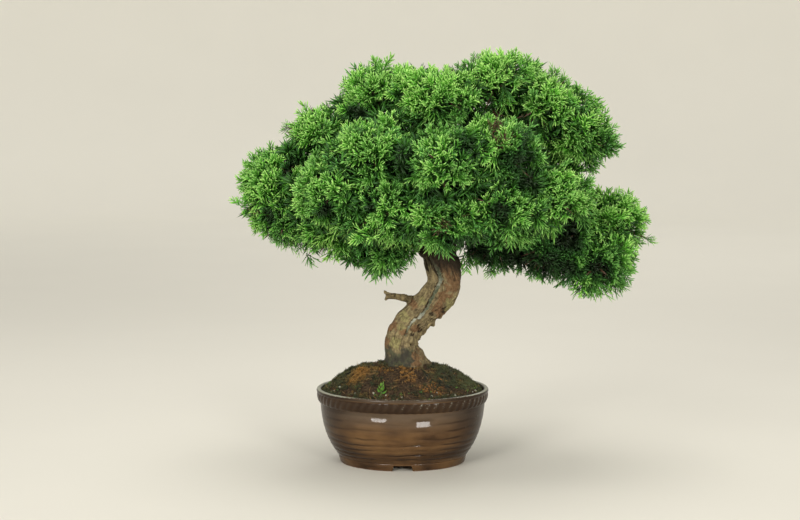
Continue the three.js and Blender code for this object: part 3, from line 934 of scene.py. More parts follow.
@dataclass
class Pot:
    """The oval pot: a turned body with thumbed ripples, a twisted rope and a rounded lip."""

    place: Vector  # the middle of its foot, in the frame
    foot_inner: float = 41.5 * MM  # half widths, along X
    foot_outer: float = 46.2 * MM
    belly_foot: float = 47.6 * MM
    belly_top: float = 60.6 * MM
    band_root: float = 61.0 * MM
    lip: float = 63.3 * MM
    lip_inner: float = 59.7 * MM
    recess: float = 4.4 * MM  # heights
    foot_top: float = 4.8 * MM
    belly_base: float = 6 * MM
    band_bottom: float = 44.4 * MM
    band_top: float = 53.2 * MM
    height: float = 55 * MM
    floor: float = 8.6 * MM
    belly_pulls: tuple[Pair, ...] = ((54.6, 15), (59.6, 27))  # of the wall's curve, in mm
    belly_rows: int = 67
    lip_rows: int = 13
    inside: tuple[Pair, ...] = ((58.4, 50), (56.8, 40), (51.8, 20), (46, 12))  # in mm
    floor_reach: float = 39 * MM
    depth_at_foot: float = 0.83  # depth over width of the oval
    depth_at_lip: float = 0.84
    turns: int = 288
    strands: int = 66
    # The hollows between the ripples, and how deep these are up the wall: heights in mm.
    ripple_heights: tuple[float, ...] = (6, 8.8, 12.3, 16.3, 20.2, 24.7, 31, 36.5, 42)
    ripple_depths: tuple[Pair, ...] = (
        (6, 0.4), (10, 1), (16, 1), (25, 0.65), (32, 0.45), (44, 0.25),
    )
    ripple: float = 0.7 * MM
    waver: float = 0.35 * MM  # how uneven the wall is besides
    thumb_marks: tuple[Pair, ...] = ((-17.3, 37.6), (15.2, 34.4))  # x and lower edge, in mm
    thumb_depth: float = 1.9 * MM
    notch: Triple = (16.8 * MM, 13 * MM, 4.3 * MM)  # its widths and its height
    drain: Pair = (6 * MM, 21 * MM)  # a hole's radius and its way from the middle

    def depth_ratio(self, z: np.ndarray) -> np.ndarray:
        """Depth over width of the oval at a height."""
        return self.depth_at_foot + (self.depth_at_lip - self.depth_at_foot) * z / self.height

    def outline(self) -> list[Pair]:
        """Half widths and heights, from the middle of the underside to the middle of the floor.

        Returns:
            The outline's points, in order.
        """
        edge = 0.8 * MM
        points = [(0, self.recess), (self.foot_inner - 2 * edge, self.recess)]
        points += [(self.foot_inner - edge, self.recess - edge), (self.foot_inner, edge)]
        points += [(self.foot_inner + edge, 0), (self.foot_outer - edge, 0)]
        points += [(self.foot_outer, edge), (self.belly_foot - 0.5 * MM, self.foot_top)]
        points += [(self.belly_foot - edge, self.foot_top + 0.5 * MM)]
        points += [(self.belly_foot - 0.6 * MM, self.belly_base - 0.3 * MM)]
        pulls = [(wide * MM, high * MM) for wide, high in self.belly_pulls]
        pulls = [(self.belly_foot, self.belly_base), *pulls, (self.belly_top, self.band_bottom)]
        points += [bezier(pulls, i / (self.belly_rows - 1)) for i in range(self.belly_rows)]
        points += [(self.band_root, self.band_bottom + 0.8 * MM)]
        points += [(self.band_root, self.band_top - 2 * MM)]
        middle = (self.lip + self.lip_inner) / 2
        half_wide = (self.lip - self.lip_inner) / 2
        centre = self.height - half_wide
        for i in range(self.lip_rows):
            turn = math.radians(-35 + i * 17.5)
            points.append((middle + half_wide * math.cos(turn),
                           centre + half_wide * math.sin(turn)))
        points += [(wide * MM, high * MM) for wide, high in self.inside]
        return points + [(self.floor_reach, self.floor), (0, self.floor)]

    def body(self) -> bpy.types.Object:
        """The turned body, pressed oval, rippled, notched and drained.

        Returns:
            The body, about the middle of its foot.
        """
        piece = turned("pot", self.outline(), self.turns)
        points = points_of(piece)
        out = np.hypot(points[:, 0], points[:, 1])
        wall = self.wall(points, out)
        ends = smooth_step(np.abs(points[:, 0] + 2 * MM), 17 * MM, 60 * MM)
        dent, hollow = self.dents(points, wall, ends)
        scale = (out - dent) / np.maximum(out, 1e-9)
        points[:, 0] *= scale
        points[:, 1] *= scale * self.depth_ratio(points[:, 2])
        move_points(piece, points)
        x, _, z = points.T
        lip = smooth_step(z, self.height - 1.3 * MM, self.height - 0.1 * MM)
        rim = smooth_step(z, self.band_top - 1 * MM, self.band_top)
        sides = smooth_step(np.abs(x), 30 * MM, 58 * MM)
        left = smooth_step(-x, 28 * MM, 52 * MM)
        low = 0.42 * np.exp(-((z / MM - 11) / 5) ** 2) * wall
        store(piece, "wear", 0.17 + lip * (0.35 + 0.33 * sides + 0.28 * left))
        store(piece, "smoky", 0.75 * smooth_step(z, 26 * MM, 44 * MM) * np.maximum(wall, rim))
        # Darker where the glaze pools in the ripples, in a band low on the belly and on the lip;
        # towards the oval's ends this is painted shade.
        dark = 0.9 * hollow + low + 0.8 * ends * (1 - lip) + 0.45 * rim
        store(piece, "hollow", np.clip(dark, 0, 1))
        store(piece, "bare", (z < 0.6 * MM).astype(float))
        return self.cut(piece)

    def wall(self, points: np.ndarray, out: np.ndarray) -> np.ndarray:
        """Which points lie on the outside of the belly: 1 on it, 0 elsewhere."""
        z = points[:, 2]
        found = smooth_step(z, 6 * MM, 8 * MM)
        found *= smooth_step(z, self.band_bottom + 0.6 * MM, self.band_bottom - 0.4 * MM)
        return found * (out > np.interp(z, [self.floor, self.band_bottom], [46 * MM, 58.5 * MM]))

    def dents(self, points: np.ndarray, wall: np.ndarray,
              ends: np.ndarray) -> tuple[np.ndarray, np.ndarray]:
        """How the wall is pressed in by ripples, its unevenness and the marks of two thumbs.

        Args:
            points: shape (n, 3), before the body is pressed oval.
            wall: which of them lie on the wall.
            ends: how far each lies towards the oval's ends, from 0 to 1.

        Returns:
            The depth at each point, and how far each lies in a hollow.
        """
        x, y, z = points.T
        round_ = np.arctan2(y, x)
        ring = np.stack([np.cos(round_), np.sin(round_), z * 25], 1)
        sway = rough(ring, 0.42, 1) + 0.4 * rough(ring, 0.16, 2)
        broken = smooth_step(rough(ring * (1, 1, 3), 0.3, 5), -0.5, 0.25)
        ripples = np.interp(z / MM, self.ripple_heights, range(len(self.ripple_heights)))
        wave = np.cos(2 * math.pi * (ripples + 0.26 * sway))
        depth = np.interp(z / MM, *zip(*self.ripple_depths))
        hollow = np.clip(wave, 0, 1) ** 3.5 * (0.15 + 0.85 * broken) * wall * depth
        swell = np.clip(-wave, 0, 1) * wall * depth
        dent = self.ripple * (hollow - 0.5 * swell) * (1 - 0.7 * ends)
        dent = dent + self.waver * wall * rough(ring, 0.5, 9)
        for middle, low in self.thumb_marks:
            near = smooth_step(np.abs(x / MM - middle), 10.5, 4) * (y < 0)
            leans = np.interp(z / MM, (low, low + 4, low + 6.4), (0, self.thumb_depth, 0))
            dent = dent * (1 - 0.8 * near * (leans > 0)) + leans * near * wall
        return dent, hollow

    def cut(self, piece: bpy.types.Object) -> bpy.types.Object:
        """Cuts the foot's notches and the two drainage holes.

        Args:
            piece: the body.

        Returns:
            The same body, cut.
        """
        bottom, top, high = self.notch
        cutter = added(bpy.ops.mesh.primitive_cube_add, size=1, location=(0, 0, 0),
                       scale=(bottom, 0.3, 2 * high))
        bpy.ops.object.transform_apply(location=True, rotation=True, scale=True)
        points = points_of(cutter)
        points[points[:, 2] > 0, 0] *= top / bottom
        move_points(cutter, points)
        applied(cutter, "BEVEL", width=0.5 * MM, segments=3)
        radius, away = self.drain
        cutters = [cutter]
        for side in (-1, 1):
            cutters.append(added(bpy.ops.mesh.primitive_cylinder_add, vertices=48, radius=radius,
                                 depth=0.06, location=(side * away, 0, 0)))
            bpy.ops.object.transform_apply(location=True, rotation=True, scale=True)
        for one in cutters:
            applied(piece, "BOOLEAN", object=one, operation="DIFFERENCE", solver="EXACT")
            bpy.data.objects.remove(one)
        return piece

    def rope(self) -> bpy.types.Object:
        """The twisted rope under the lip.

        Returns:
            The rope, as a closed ring.
        """
        high = (self.band_top - self.band_bottom) / 2
        piece = added(bpy.ops.mesh.primitive_torus_add, location=(0, 0, 0),
                      major_radius=self.band_root, minor_radius=high,
                      major_segments=self.strands * 14, minor_segments=18)
        points = points_of(piece)
        round_ = np.arctan2(points[:, 1], points[:, 0])
        out = np.hypot(points[:, 0], points[:, 1]) - self.band_root
        lean = np.arctan2(points[:, 2], np.maximum(out, 0.2 * MM))
        ring = np.stack([np.cos(round_), np.sin(round_), 0 * round_], 1)
        phase = self.strands * round_ / 2 - 1.15 * lean + 0.45 * rough(ring, 0.12, 3)
        strand = np.abs(np.sin(phase)) ** 0.6
        size = 0.45 + 0.55 * strand
        flat = 0.45
        reach = self.band_root + np.where(out > 0, flat * out * size, out * 0.3)
        reach = reach + 0.13 * points[:, 2]
        height = (self.band_top + self.band_bottom) / 2 + points[:, 2] * (0.94 + 0.06 * strand)
        ratio = self.depth_ratio(height)
        x, y = reach * np.cos(round_), ratio * reach * np.sin(round_)
        move_points(piece, np.stack([x, y, height], 1))
        # The strands are painted crisper towards the right, paler worn crests and darker grooves,
        # which there also stand in for highlights and shade.
        lit_side_contrast = 0.45 + 0.55 * smooth_step(points[:, 0], -25 * MM, 20 * MM)
        crest = smooth_step(strand, 0.72, 0.97) * smooth_step(points[:, 2], -0.9 * high, 0.1 * high)
        store(piece, "wear", 0.10 + 0.37 * crest * lit_side_contrast)
        store(piece, "smoky", 0.5 * crest)
        store(piece, "hollow", 0.74 + 0.26 * (1 - smooth_step(strand, 0.55, 0.95)) * lit_side_contrast)
        store(piece, "bare", np.zeros(len(points)))
        return piece

    def build(self) -> None:
        """Makes the pot and its rope as one fired piece, and dresses the drainage screens."""
        piece = joined([self.body(), self.rope()], "pot_glazed")
        piece.data.transform(Matrix.Translation(self.place))
        shade_smooth(piece)
        deliver(piece, Slot.POT, Glaze().material(), "pot")
        plastic = ScreenPlastic().material()
        for side in ("left", "right"):
            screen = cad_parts[f"drainage_screen_{side}"]
            screen.data.materials.clear()
            screen.data.materials.append(plastic)


def bezier(pulls: Sequence[Pair], t: float) -> Pair:
    """A point of a cubic curve given by its two ends and two pulls, at t from 0 to 1."""
    weights = ((1 - t) ** 3, 3 * t * (1 - t) ** 2, 3 * t * t * (1 - t), t ** 3)
    return tuple(sum(w * p[axis] for w, p in zip(weights, pulls)) for axis in (0, 1))


def turned(name: str, outline: Sequence[Pair], steps: int) -> bpy.types.Object:
    """A surface spun about Z: a closed solid where its outline starts and ends on the axis.

    Args:
        name: the object's name.
        outline: half widths and heights.
        steps: how many parts the full turn has.

    Returns:
        The new object.
    """
    piece = added(bpy.ops.mesh.primitive_plane_add, size=0.001, location=(0, 0, 0))
    piece.name = name
    with editing(piece):
        bpy.ops.mesh.merge(type="CENTER")
        bpy.ops.transform.translate(value=(outline[0][0], 0, outline[0][1]))
        for (x0, z0), (x1, z1) in zip(outline, outline[1:]):
            bpy.ops.mesh.extrude_region_move(
                TRANSFORM_OT_translate={"value": (x1 - x0, 0, z1 - z0)})
        bpy.ops.mesh.select_all(action="SELECT")
        bpy.ops.mesh.spin(steps=steps, angle=2 * math.pi, center=(0, 0, 0), axis=(0, 0, 1))
    return tidied(piece, 0.002 * MM)


# -------------------- soil and what grows on it


@dataclass
class Mound:
    """The smooth mound that the soil rises in above the pot's rim."""

    edge: float = 51.6 * MM
    rise: float = 21 * MM
    roundness: float = 2.8
    half_width: float = 58.25 * MM
    ratio: float = 0.838

    def share(self, x: np.ndarray, y: np.ndarray) -> np.ndarray:
        """How far out a place is, 0 in the middle and 1 at the wall."""
        return np.hypot(x / self.half_width, y / (self.half_width * self.ratio))

    def height(self, x: np.ndarray, y: np.ndarray) -> np.ndarray:
        """The mound's height at a place."""
        return self.edge + self.rise * (1 - np.minimum(self.share(x, y), 1) ** self.roundness)

    def at(self, share: float, turn: float) -> tuple[Vector, Vector]:
        """A point on the mound and the way that its surface faces.

        Args:
            share: how far out, 0 in the middle and 1 at the wall.
            turn: in which direction, in radians.

        Returns:
            The point and the unit vector.
        """
        step = 0.5 * MM
        x = share * self.half_width * math.cos(turn)
        y = share * self.half_width * self.ratio * math.sin(turn)
        z = float(self.height(x, y))
        slope = [(float(self.height(x + dx, y + dy)) - z) / step
                 for dx, dy in ((step, 0), (0, step))]
        return Vector((x, y, z)), Vector((-slope[0], -slope[1], 1)).normalized()


@dataclass(frozen=True)
class Sowing:
    """How one kind of thing lies all over the mound."""

    count: int
    seed: Seed
    lift: float  # how high above the smooth mound
    sizes: Pair  # the smallest and the largest scale
    band: Pair = (0.16, 0.97)  # how far out, as shares of the way to the wall
    flat: bool = False  # laid on the ground rather than upright

    def spots(self, mound: Mound, kinds: int) -> list[Spot]:
        """Draws the spots.

        Args:
            mound: what they lie on.
            kinds: how many patterns there are to choose from.

        Returns:
            The spots.
        """
        draw = random.Random(self.seed)
        spots = []
        for _ in range(self.count):
            share = math.sqrt(draw.uniform(self.band[0] ** 2, self.band[1] ** 2))
            turn = draw.uniform(0, 2 * math.pi)
            at, up = mound.at(share, turn)
            facing = up
            if self.flat:
                side = Vector((math.cos(turn * 7), math.sin(turn * 7), 0))
                facing = side - up * side.dot(up) + up * draw.uniform(-0.12, 0.25)
                facing.normalize()
            size = draw.uniform(*self.sizes)
            place = placed(at + up * self.lift, facing, draw.uniform(0, ROLL), size)
            spots.append(Spot(draw.randrange(kinds), place, draw.random()))
        return spots


@dataclass
class Soil:
    """The root ball's soil, with crumbs, dead needles, pale grit and low moss on it."""

    place: Vector  # the middle of the pot's foot, in the frame
    mound: Mound = field(default_factory=Mound)
    steps: int = 200
    rings: int = 62
    inside: tuple[Pair, ...] = ((0, 10.4), (38, 10.4), (46, 15), (50.6, 20), (56, 40))  # in mm
    rim: float = 60 * MM  # the outline's height, from where the mound is shaped
    grain: float = 1.0 * MM
    swell: float = 0.9 * MM
    crumbs: Sowing = Sowing(3200, Seed.CRUMBS, 0.25 * MM, (0.35, 1.15))
    needles: Sowing = Sowing(620, Seed.NEEDLES, 0.9 * MM, (0.8, 1.25), flat=True)
    grit: Sowing = Sowing(42, Seed.GRIT, 0.7 * MM, (0.5, 1.3), (0.86, 0.985))
    sprouts: Sowing = Sowing(3400, Seed.SPROUTS, 0.2 * MM, (0.55, 1.1), (0.1, 0.985))
    edging: Sowing = Sowing(900, Seed.EDGING, 0.2 * MM, (0.6, 1.2), (0.93, 1.0))
    sprigs: Sowing = Sowing(46, Seed.SPRIGS, 0.1 * MM, (0.5, 1.0), (0.84, 0.97))
    stalks: int = 46
    needle: tuple[float, ...] = (2.2, 3.2, 4.6)  # the needles' lengths, in mm
    needle_radius: float = 0.23 * MM
    rust: Triple = (1.5, -24, 17)  # x, y and reach of the rusty patch, in mm
    green_side: float = 19 * MM  # moss covers all the soil to the right of here
    green_ends: float = 44 * MM  # and further out than this
    litter_look: Strewn = Strewn("dead_needles", (0.065, 0.038, 0.018), (0.46, 0.27, 0.105))
    grit_look: Strewn = Strewn("pale_grit", (0.10, 0.09, 0.05), (0.66, 0.66, 0.52))

    def ground(self) -> bpy.types.Object:
        """The block of soil: it fills the pot and its top is uneven.

        Returns:
            The block.
        """
        inside = [(wide * MM, high * MM) for wide, high in self.inside]
        half_wide = self.mound.half_width
        top = [(half_wide * (1 - i / self.rings), self.rim) for i in range(self.rings + 1)]
        piece = turned("soil_ground", inside + top, self.steps)
        points = points_of(piece)
        points[:, 1] *= self.mound.ratio
        upper = points[:, 2] > self.rim - 10 * MM
        x, y = points[upper, 0], points[upper, 1]
        flat = np.stack([x, y, 0 * x], 1)
        uneven = self.swell * rough(flat, 6 * MM, 4) + self.grain * rough(flat, 1.6 * MM, 6, 3)
        calm = 1 - smooth_step(self.mound.share(x, y), 0.9, 1.0)
        points[upper, 2] = self.mound.height(x, y) + uneven * (0.25 + 0.75 * calm)
        move_points(piece, points)
        return piece

    def build(self) -> None:
        """Makes the soil and all that lies on it."""
        piece = self.ground()
        grains = [model_grain(1 * MM, seed) for seed in range(5)]
        crumbs = Pattern.strewn(grains, self.crumbs.spots(self.mound, len(grains)))
        piece = joined([piece, crumbs.made("crumbs")], "soil_ground")
        piece.data.uv_layers.remove(piece.data.uv_layers[PAINT_MAP])
        piece.data.transform(Matrix.Translation(self.place))
        deliver(piece, Slot.SOIL, Earth().material(), "soil")
        sticks = [model_shoot(length * MM, self.needle_radius) for length in self.needle]
        spots = [spot for spot in self.needles.spots(self.mound, len(sticks))
                 if not self.on_cushion(spot.place.translation)
                 and spot.place.translation.x < self.green_side]
        spots += self.standing(len(sticks))
        self.lay("soil_needle_litter", sticks, spots, Slot.SOIL, self.litter_look.material())
        stones = [model_grain(1.0 * MM, Seed.STONES + i, 2) for i in range(3)]
        spots = self.grit.spots(self.mound, len(stones))
        self.lay("soil_pale_grit", stones, spots, Slot.SOIL, self.grit_look.material())
        draw = random.Random(Seed.MOSS)
        tufts = [moss_tuft(draw) for _ in range(MOSS_KINDS)]
        spots = self.sprigs.spots(self.mound, MOSS_KINDS)
        self.lay("soil_sprigs", tufts, spots, Slot.MOSS, WEED_GREEN.material())
        kept = [spot for sown in (self.sprouts, self.edging)
                for spot in sown.spots(self.mound, MOSS_KINDS)
                if self.mossy(spot.place.translation)]
        for spot in kept:
            rusty = 0.12 + self.rusty(spot.place.translation) + draw.gauss(0, 0.12)
            spot.tint = clamped(rusty, *TINTS)
        self.lay("soil_low_moss", tufts, kept, Slot.MOSS, MOSS_GREEN.material())

    def lay(self, name: str, patterns: Sequence[Pattern], spots: Sequence[Spot], slot: Slot,
            finish: bpy.types.Material) -> None:
        """Strews patterns over the soil as one piece, in its place in the frame.

        Args:
            name: the piece's name.
            patterns: the shapes that spots name by number.
            spots: where each copy goes, about the middle of the pot's foot.
            slot: the record's material slot.
            finish: the material that the piece wears.
        """
        piece = Pattern.strewn(patterns, spots).made(name)
        piece.data.transform(Matrix.Translation(self.place))
        deliver(piece, slot, finish)

    def mossy(self, at: Vector) -> bool:
        """Whether low moss grows at a place, about the middle of the pot's foot."""
        bare = noise.noise(at / (9 * MM)) + 0.5 * noise.noise(at / (3.5 * MM))
        green = at.x > self.green_side or abs(at.x) > self.green_ends
        return bare <= (0.5 if green else 0.02) and not self.on_cushion(at)

    def rusty(self, at: Vector) -> float:
        """How rusty the low moss is at a place."""
        x, y, reach = (MM * number for number in self.rust)
        near = 1.25 * (1 - math.hypot(at.x - x, at.y - y) / reach)
        return max(near, -0.1) + 0.5 * noise.noise(at / (6 * MM) + Vector((5, 5, 5)))

    def on_cushion(self, at: Vector) -> bool:
        """Whether a place, about the middle of the pot's foot, lies under a cushion of moss.

        Args:
            at: the place.

        Returns:
            True under either cushion.
        """
        for node in ("moss_left", "moss_right"):
            low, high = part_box(node)
            middle, half = (low + high) / 2 - self.place, (high - low) / 2
            if math.hypot((at.x - middle.x) / half.x, (at.y - middle.y) / half.y) < 0.92:
                return True
        return False

    def standing(self, kinds: int) -> list[Spot]:
        """Spots for thin dead stalks that stand in the soil.

        Args:
            kinds: how many patterns there are to choose from.

        Returns:
            The spots.
        """
        draw = random.Random(Seed.STALKS)
        spots = []
        for _ in range(self.stalks):
            share = math.sqrt(draw.uniform(0.12, 0.9))
            at, up = self.mound.at(share, draw.uniform(0, 2 * math.pi))
            heading = lifted(up, draw, 0.3, 0.3)
            place = placed(at, heading, 0.0, draw.uniform(0.8, 1.3))
            spots.append(Spot(draw.randrange(kinds), place, draw.random()))
        return spots


def moss_tuft(draw: random.Random) -> Pattern:
    """A tuft of fine blades of moss that spread from one root.

    Args:
        draw: the random numbers.

    Returns:
        The tuft, rooted at the origin.
    """
    blade = model_shoot(1.8 * MM, 0.21 * MM, 3, 0.4)
    blade.mixed = 0.0
    spots = []
    for i in range(8):
        heading = leaning(draw.uniform(0.1, 1.0), i * GOLDEN_ANGLE)
        size = draw.uniform(0.6, 1.15)
        spots.append(Spot(0, placed(heading * 0.3 * MM, heading, 0.0, size)))
    tuft = Pattern.strewn([blade], spots)
    tuft.mixed = 0.9
    return tuft


@dataclass
class Cushion:
    """One cushion of moss: a low dome covered in short tufts."""

    node: str
    rust: Vector  # the middle of its dry, orange-brown patch
    rust_reach: float
    seed: Seed
    sunk: float  # how far its top lies under its solid's, for the tufts
    dryness: float  # of the green outside that patch
    growth: float = 1.0  # how large its tufts are
    fresh: Vector | None = None  # the middle of its brighter green end
    fresh_reach: Pair = (4 * MM, 20 * MM)  # where that starts to fade and is gone
    tufts: int = 1500
    voxel: float = 0.85 * MM

    def dome(self) -> bpy.types.Object:
        """The cushion's body, lumpy all over.

        Returns:
            The body.
        """
        piece = copy_of_node(self.node, self.node + "_cushion")
        applied(piece, "REMESH", mode="VOXEL", voxel_size=self.voxel)
        applied(piece, "SMOOTH", factor=0.5, iterations=5)
        points = points_of(piece)
        lumps = 1.6 * MM * rough(points, 5 * MM, self.seed)
        lumps = lumps + 1.3 * MM * rough(points, 2.2 * MM, self.seed + 1)
        normals = normals_of(piece)
        points += normals * lumps[:, None]
        points[:, 2] -= self.sunk * smooth_step(normals[:, 2], -0.2, 0.4)
        move_points(piece, points)
        return piece

    def blades(self, piece: bpy.types.Object) -> Pattern:
        """The tufts that cover a dome's upper side.

        Args:
            piece: the dome.

        Returns:
            All the tufts' blades, in their places.
        """
        draw = random.Random(self.seed)
        tufts = [moss_tuft(draw) for _ in range(MOSS_KINDS)]
        upper = [face for face in piece.data.polygons if face.normal.z > 0.05]
        chosen = draw.choices(upper, weights=[face.area for face in upper], k=self.tufts)
        spots = []
        for face in chosen:
            heading = lifted(face.normal, draw, 0.25, 0.35)
            roll = draw.uniform(0, ROLL)
            place = placed(face.center, heading, roll, self.growth * draw.uniform(0.6, 1.2))
            kind = draw.randrange(MOSS_KINDS)
            spots.append(Spot(kind, place, self.tint(face.center) + draw.gauss(0, 0.1)))
        blades = Pattern.strewn(tufts, spots)
        if self.fresh:
            away = np.linalg.norm(blades.points - np.array(self.fresh), axis=1)
            near = 1 - smooth_step(away, *self.fresh_reach)
            blades.paint[:, 0] = np.clip(blades.paint[:, 0] + 0.35 * near[blades.corners], 0, 0.99)
        blades.paint[:, 1] = np.clip(blades.paint[:, 1], 0.01, 0.99)
        return blades

    def build(self) -> None:
        """Makes the cushion and its tufts."""
        piece = self.dome()
        blades = self.blades(piece)
        points = points_of(piece)
        # The dome shows between the tufts in the dark colours near the moss's roots: partly old
        # moss, partly painted shade.
        along = 0.30 + 0.25 * rough(points, 1.1 * MM, self.seed)
        tint = np.array([self.tint(Vector(p)) for p in points])
        paint = np.stack([along, tint], 1)[corners_of(piece)]
        layer = piece.data.uv_layers.new(name=PAINT_MAP)
        layer.uv.foreach_set("vector", paint.astype(np.float32).ravel())
        piece = joined([piece, blades.made("blades")], self.node + "_cushion")
        deliver(piece, Slot.MOSS, MOSS_GREEN.material(), self.node)

    def tint(self, at: Vector) -> float:
        """Green at 0, dry and orange-brown at 1."""
        near = 1 - min((at - self.rust).length / self.rust_reach, 1)
        patchy = noise.noise(at / (7 * MM)) + 0.5 * noise.noise(at / (2.5 * MM))
        return clamped(self.dryness + 0.95 * near * (1 + 0.4 * patchy) + 0.18 * patchy, *TINTS)


@dataclass
class Seedling:
    """The small weed at the front of the pot."""

    node: str = "seedling"
    leaves: int = 9
    long: float = 4.2 * MM
    wide: float = 2.6 * MM
    thick: float = 0.22 * MM
    stem: float = 0.45 * MM  # its radius

    def leaf(self) -> Pattern:
        """A cupped oval leaf that grows along +Z and faces +Y.

        Returns:
            The leaf, rooted at the origin.
        """
        piece = added(bpy.ops.mesh.primitive_grid_add, x_subdivisions=4, y_subdivisions=7, size=1,
                      location=(0, 0, 0))
        points = points_of(piece)
        along = points[:, 1] + 0.5
        wide = self.wide * np.sin(math.pi * np.clip(along, 0.03, 0.985) ** 0.8) ** 0.8
        side = points[:, 0] * wide
        cup = 0.9 * MM * (2 * points[:, 0]) ** 2 * np.sin(math.pi * along)
        droop = 1.2 * MM * along ** 2
        move_points(piece, np.stack([side, droop - cup, along * self.long], 1))
        applied(piece, "SOLIDIFY", thickness=self.thick, offset=0)
        return Pattern.taken(tidied(piece, 0.001 * MM), self.long)

    def build(self) -> None:
        """Makes the stem and its leaves."""
        low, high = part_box(self.node)
        x, y = (low.x + high.x) / 2, (low.y + high.y) / 2
        foot = Vector((x - 1 * MM, y, low.z))
        axis = Vector((x + 0.6 * MM, y + 0.4 * MM, high.z - self.long)) - foot
        stalk = model_shoot(1.0, 1.0, 6, 0.9)
        stalk.paint[:, 0] = 0.02
        spots = [Spot(0, drawn_out(foot, axis, self.stem, axis.length), 0.3)]
        for i in range(self.leaves):
            share = i / (self.leaves - 1)
            at = foot + axis * (0.66 + 0.33 * share)
            turn = i * 2.4
            out = Vector((math.cos(turn), math.sin(turn), 0.15 + 1.1 * share)).normalized()
            spots.append(Spot(1, placed(at, out, 0.0, 1.0 - 0.42 * share), 0.35 + 0.6 * share))
        piece = Pattern.strewn([stalk, self.leaf()], spots).made("seedling_weed")
        shade_smooth(piece)
        deliver(piece, Slot.SEEDLING, WEED_GREEN.material(), self.node)


# -------------------- wood


@dataclass(frozen=True)
class Relief:
    """How high the bark stands out, or how deep, in millimetres."""

    flake: float = 0.45
    groove: float = 0.65
    crease: float = 0.3
    wrinkle: float = 0.16
    crag: float = 2.7
    ribbon: float = 0.6
    seam: float = 0.9
    hollow: float = 0.7
    knob: float = 1.1


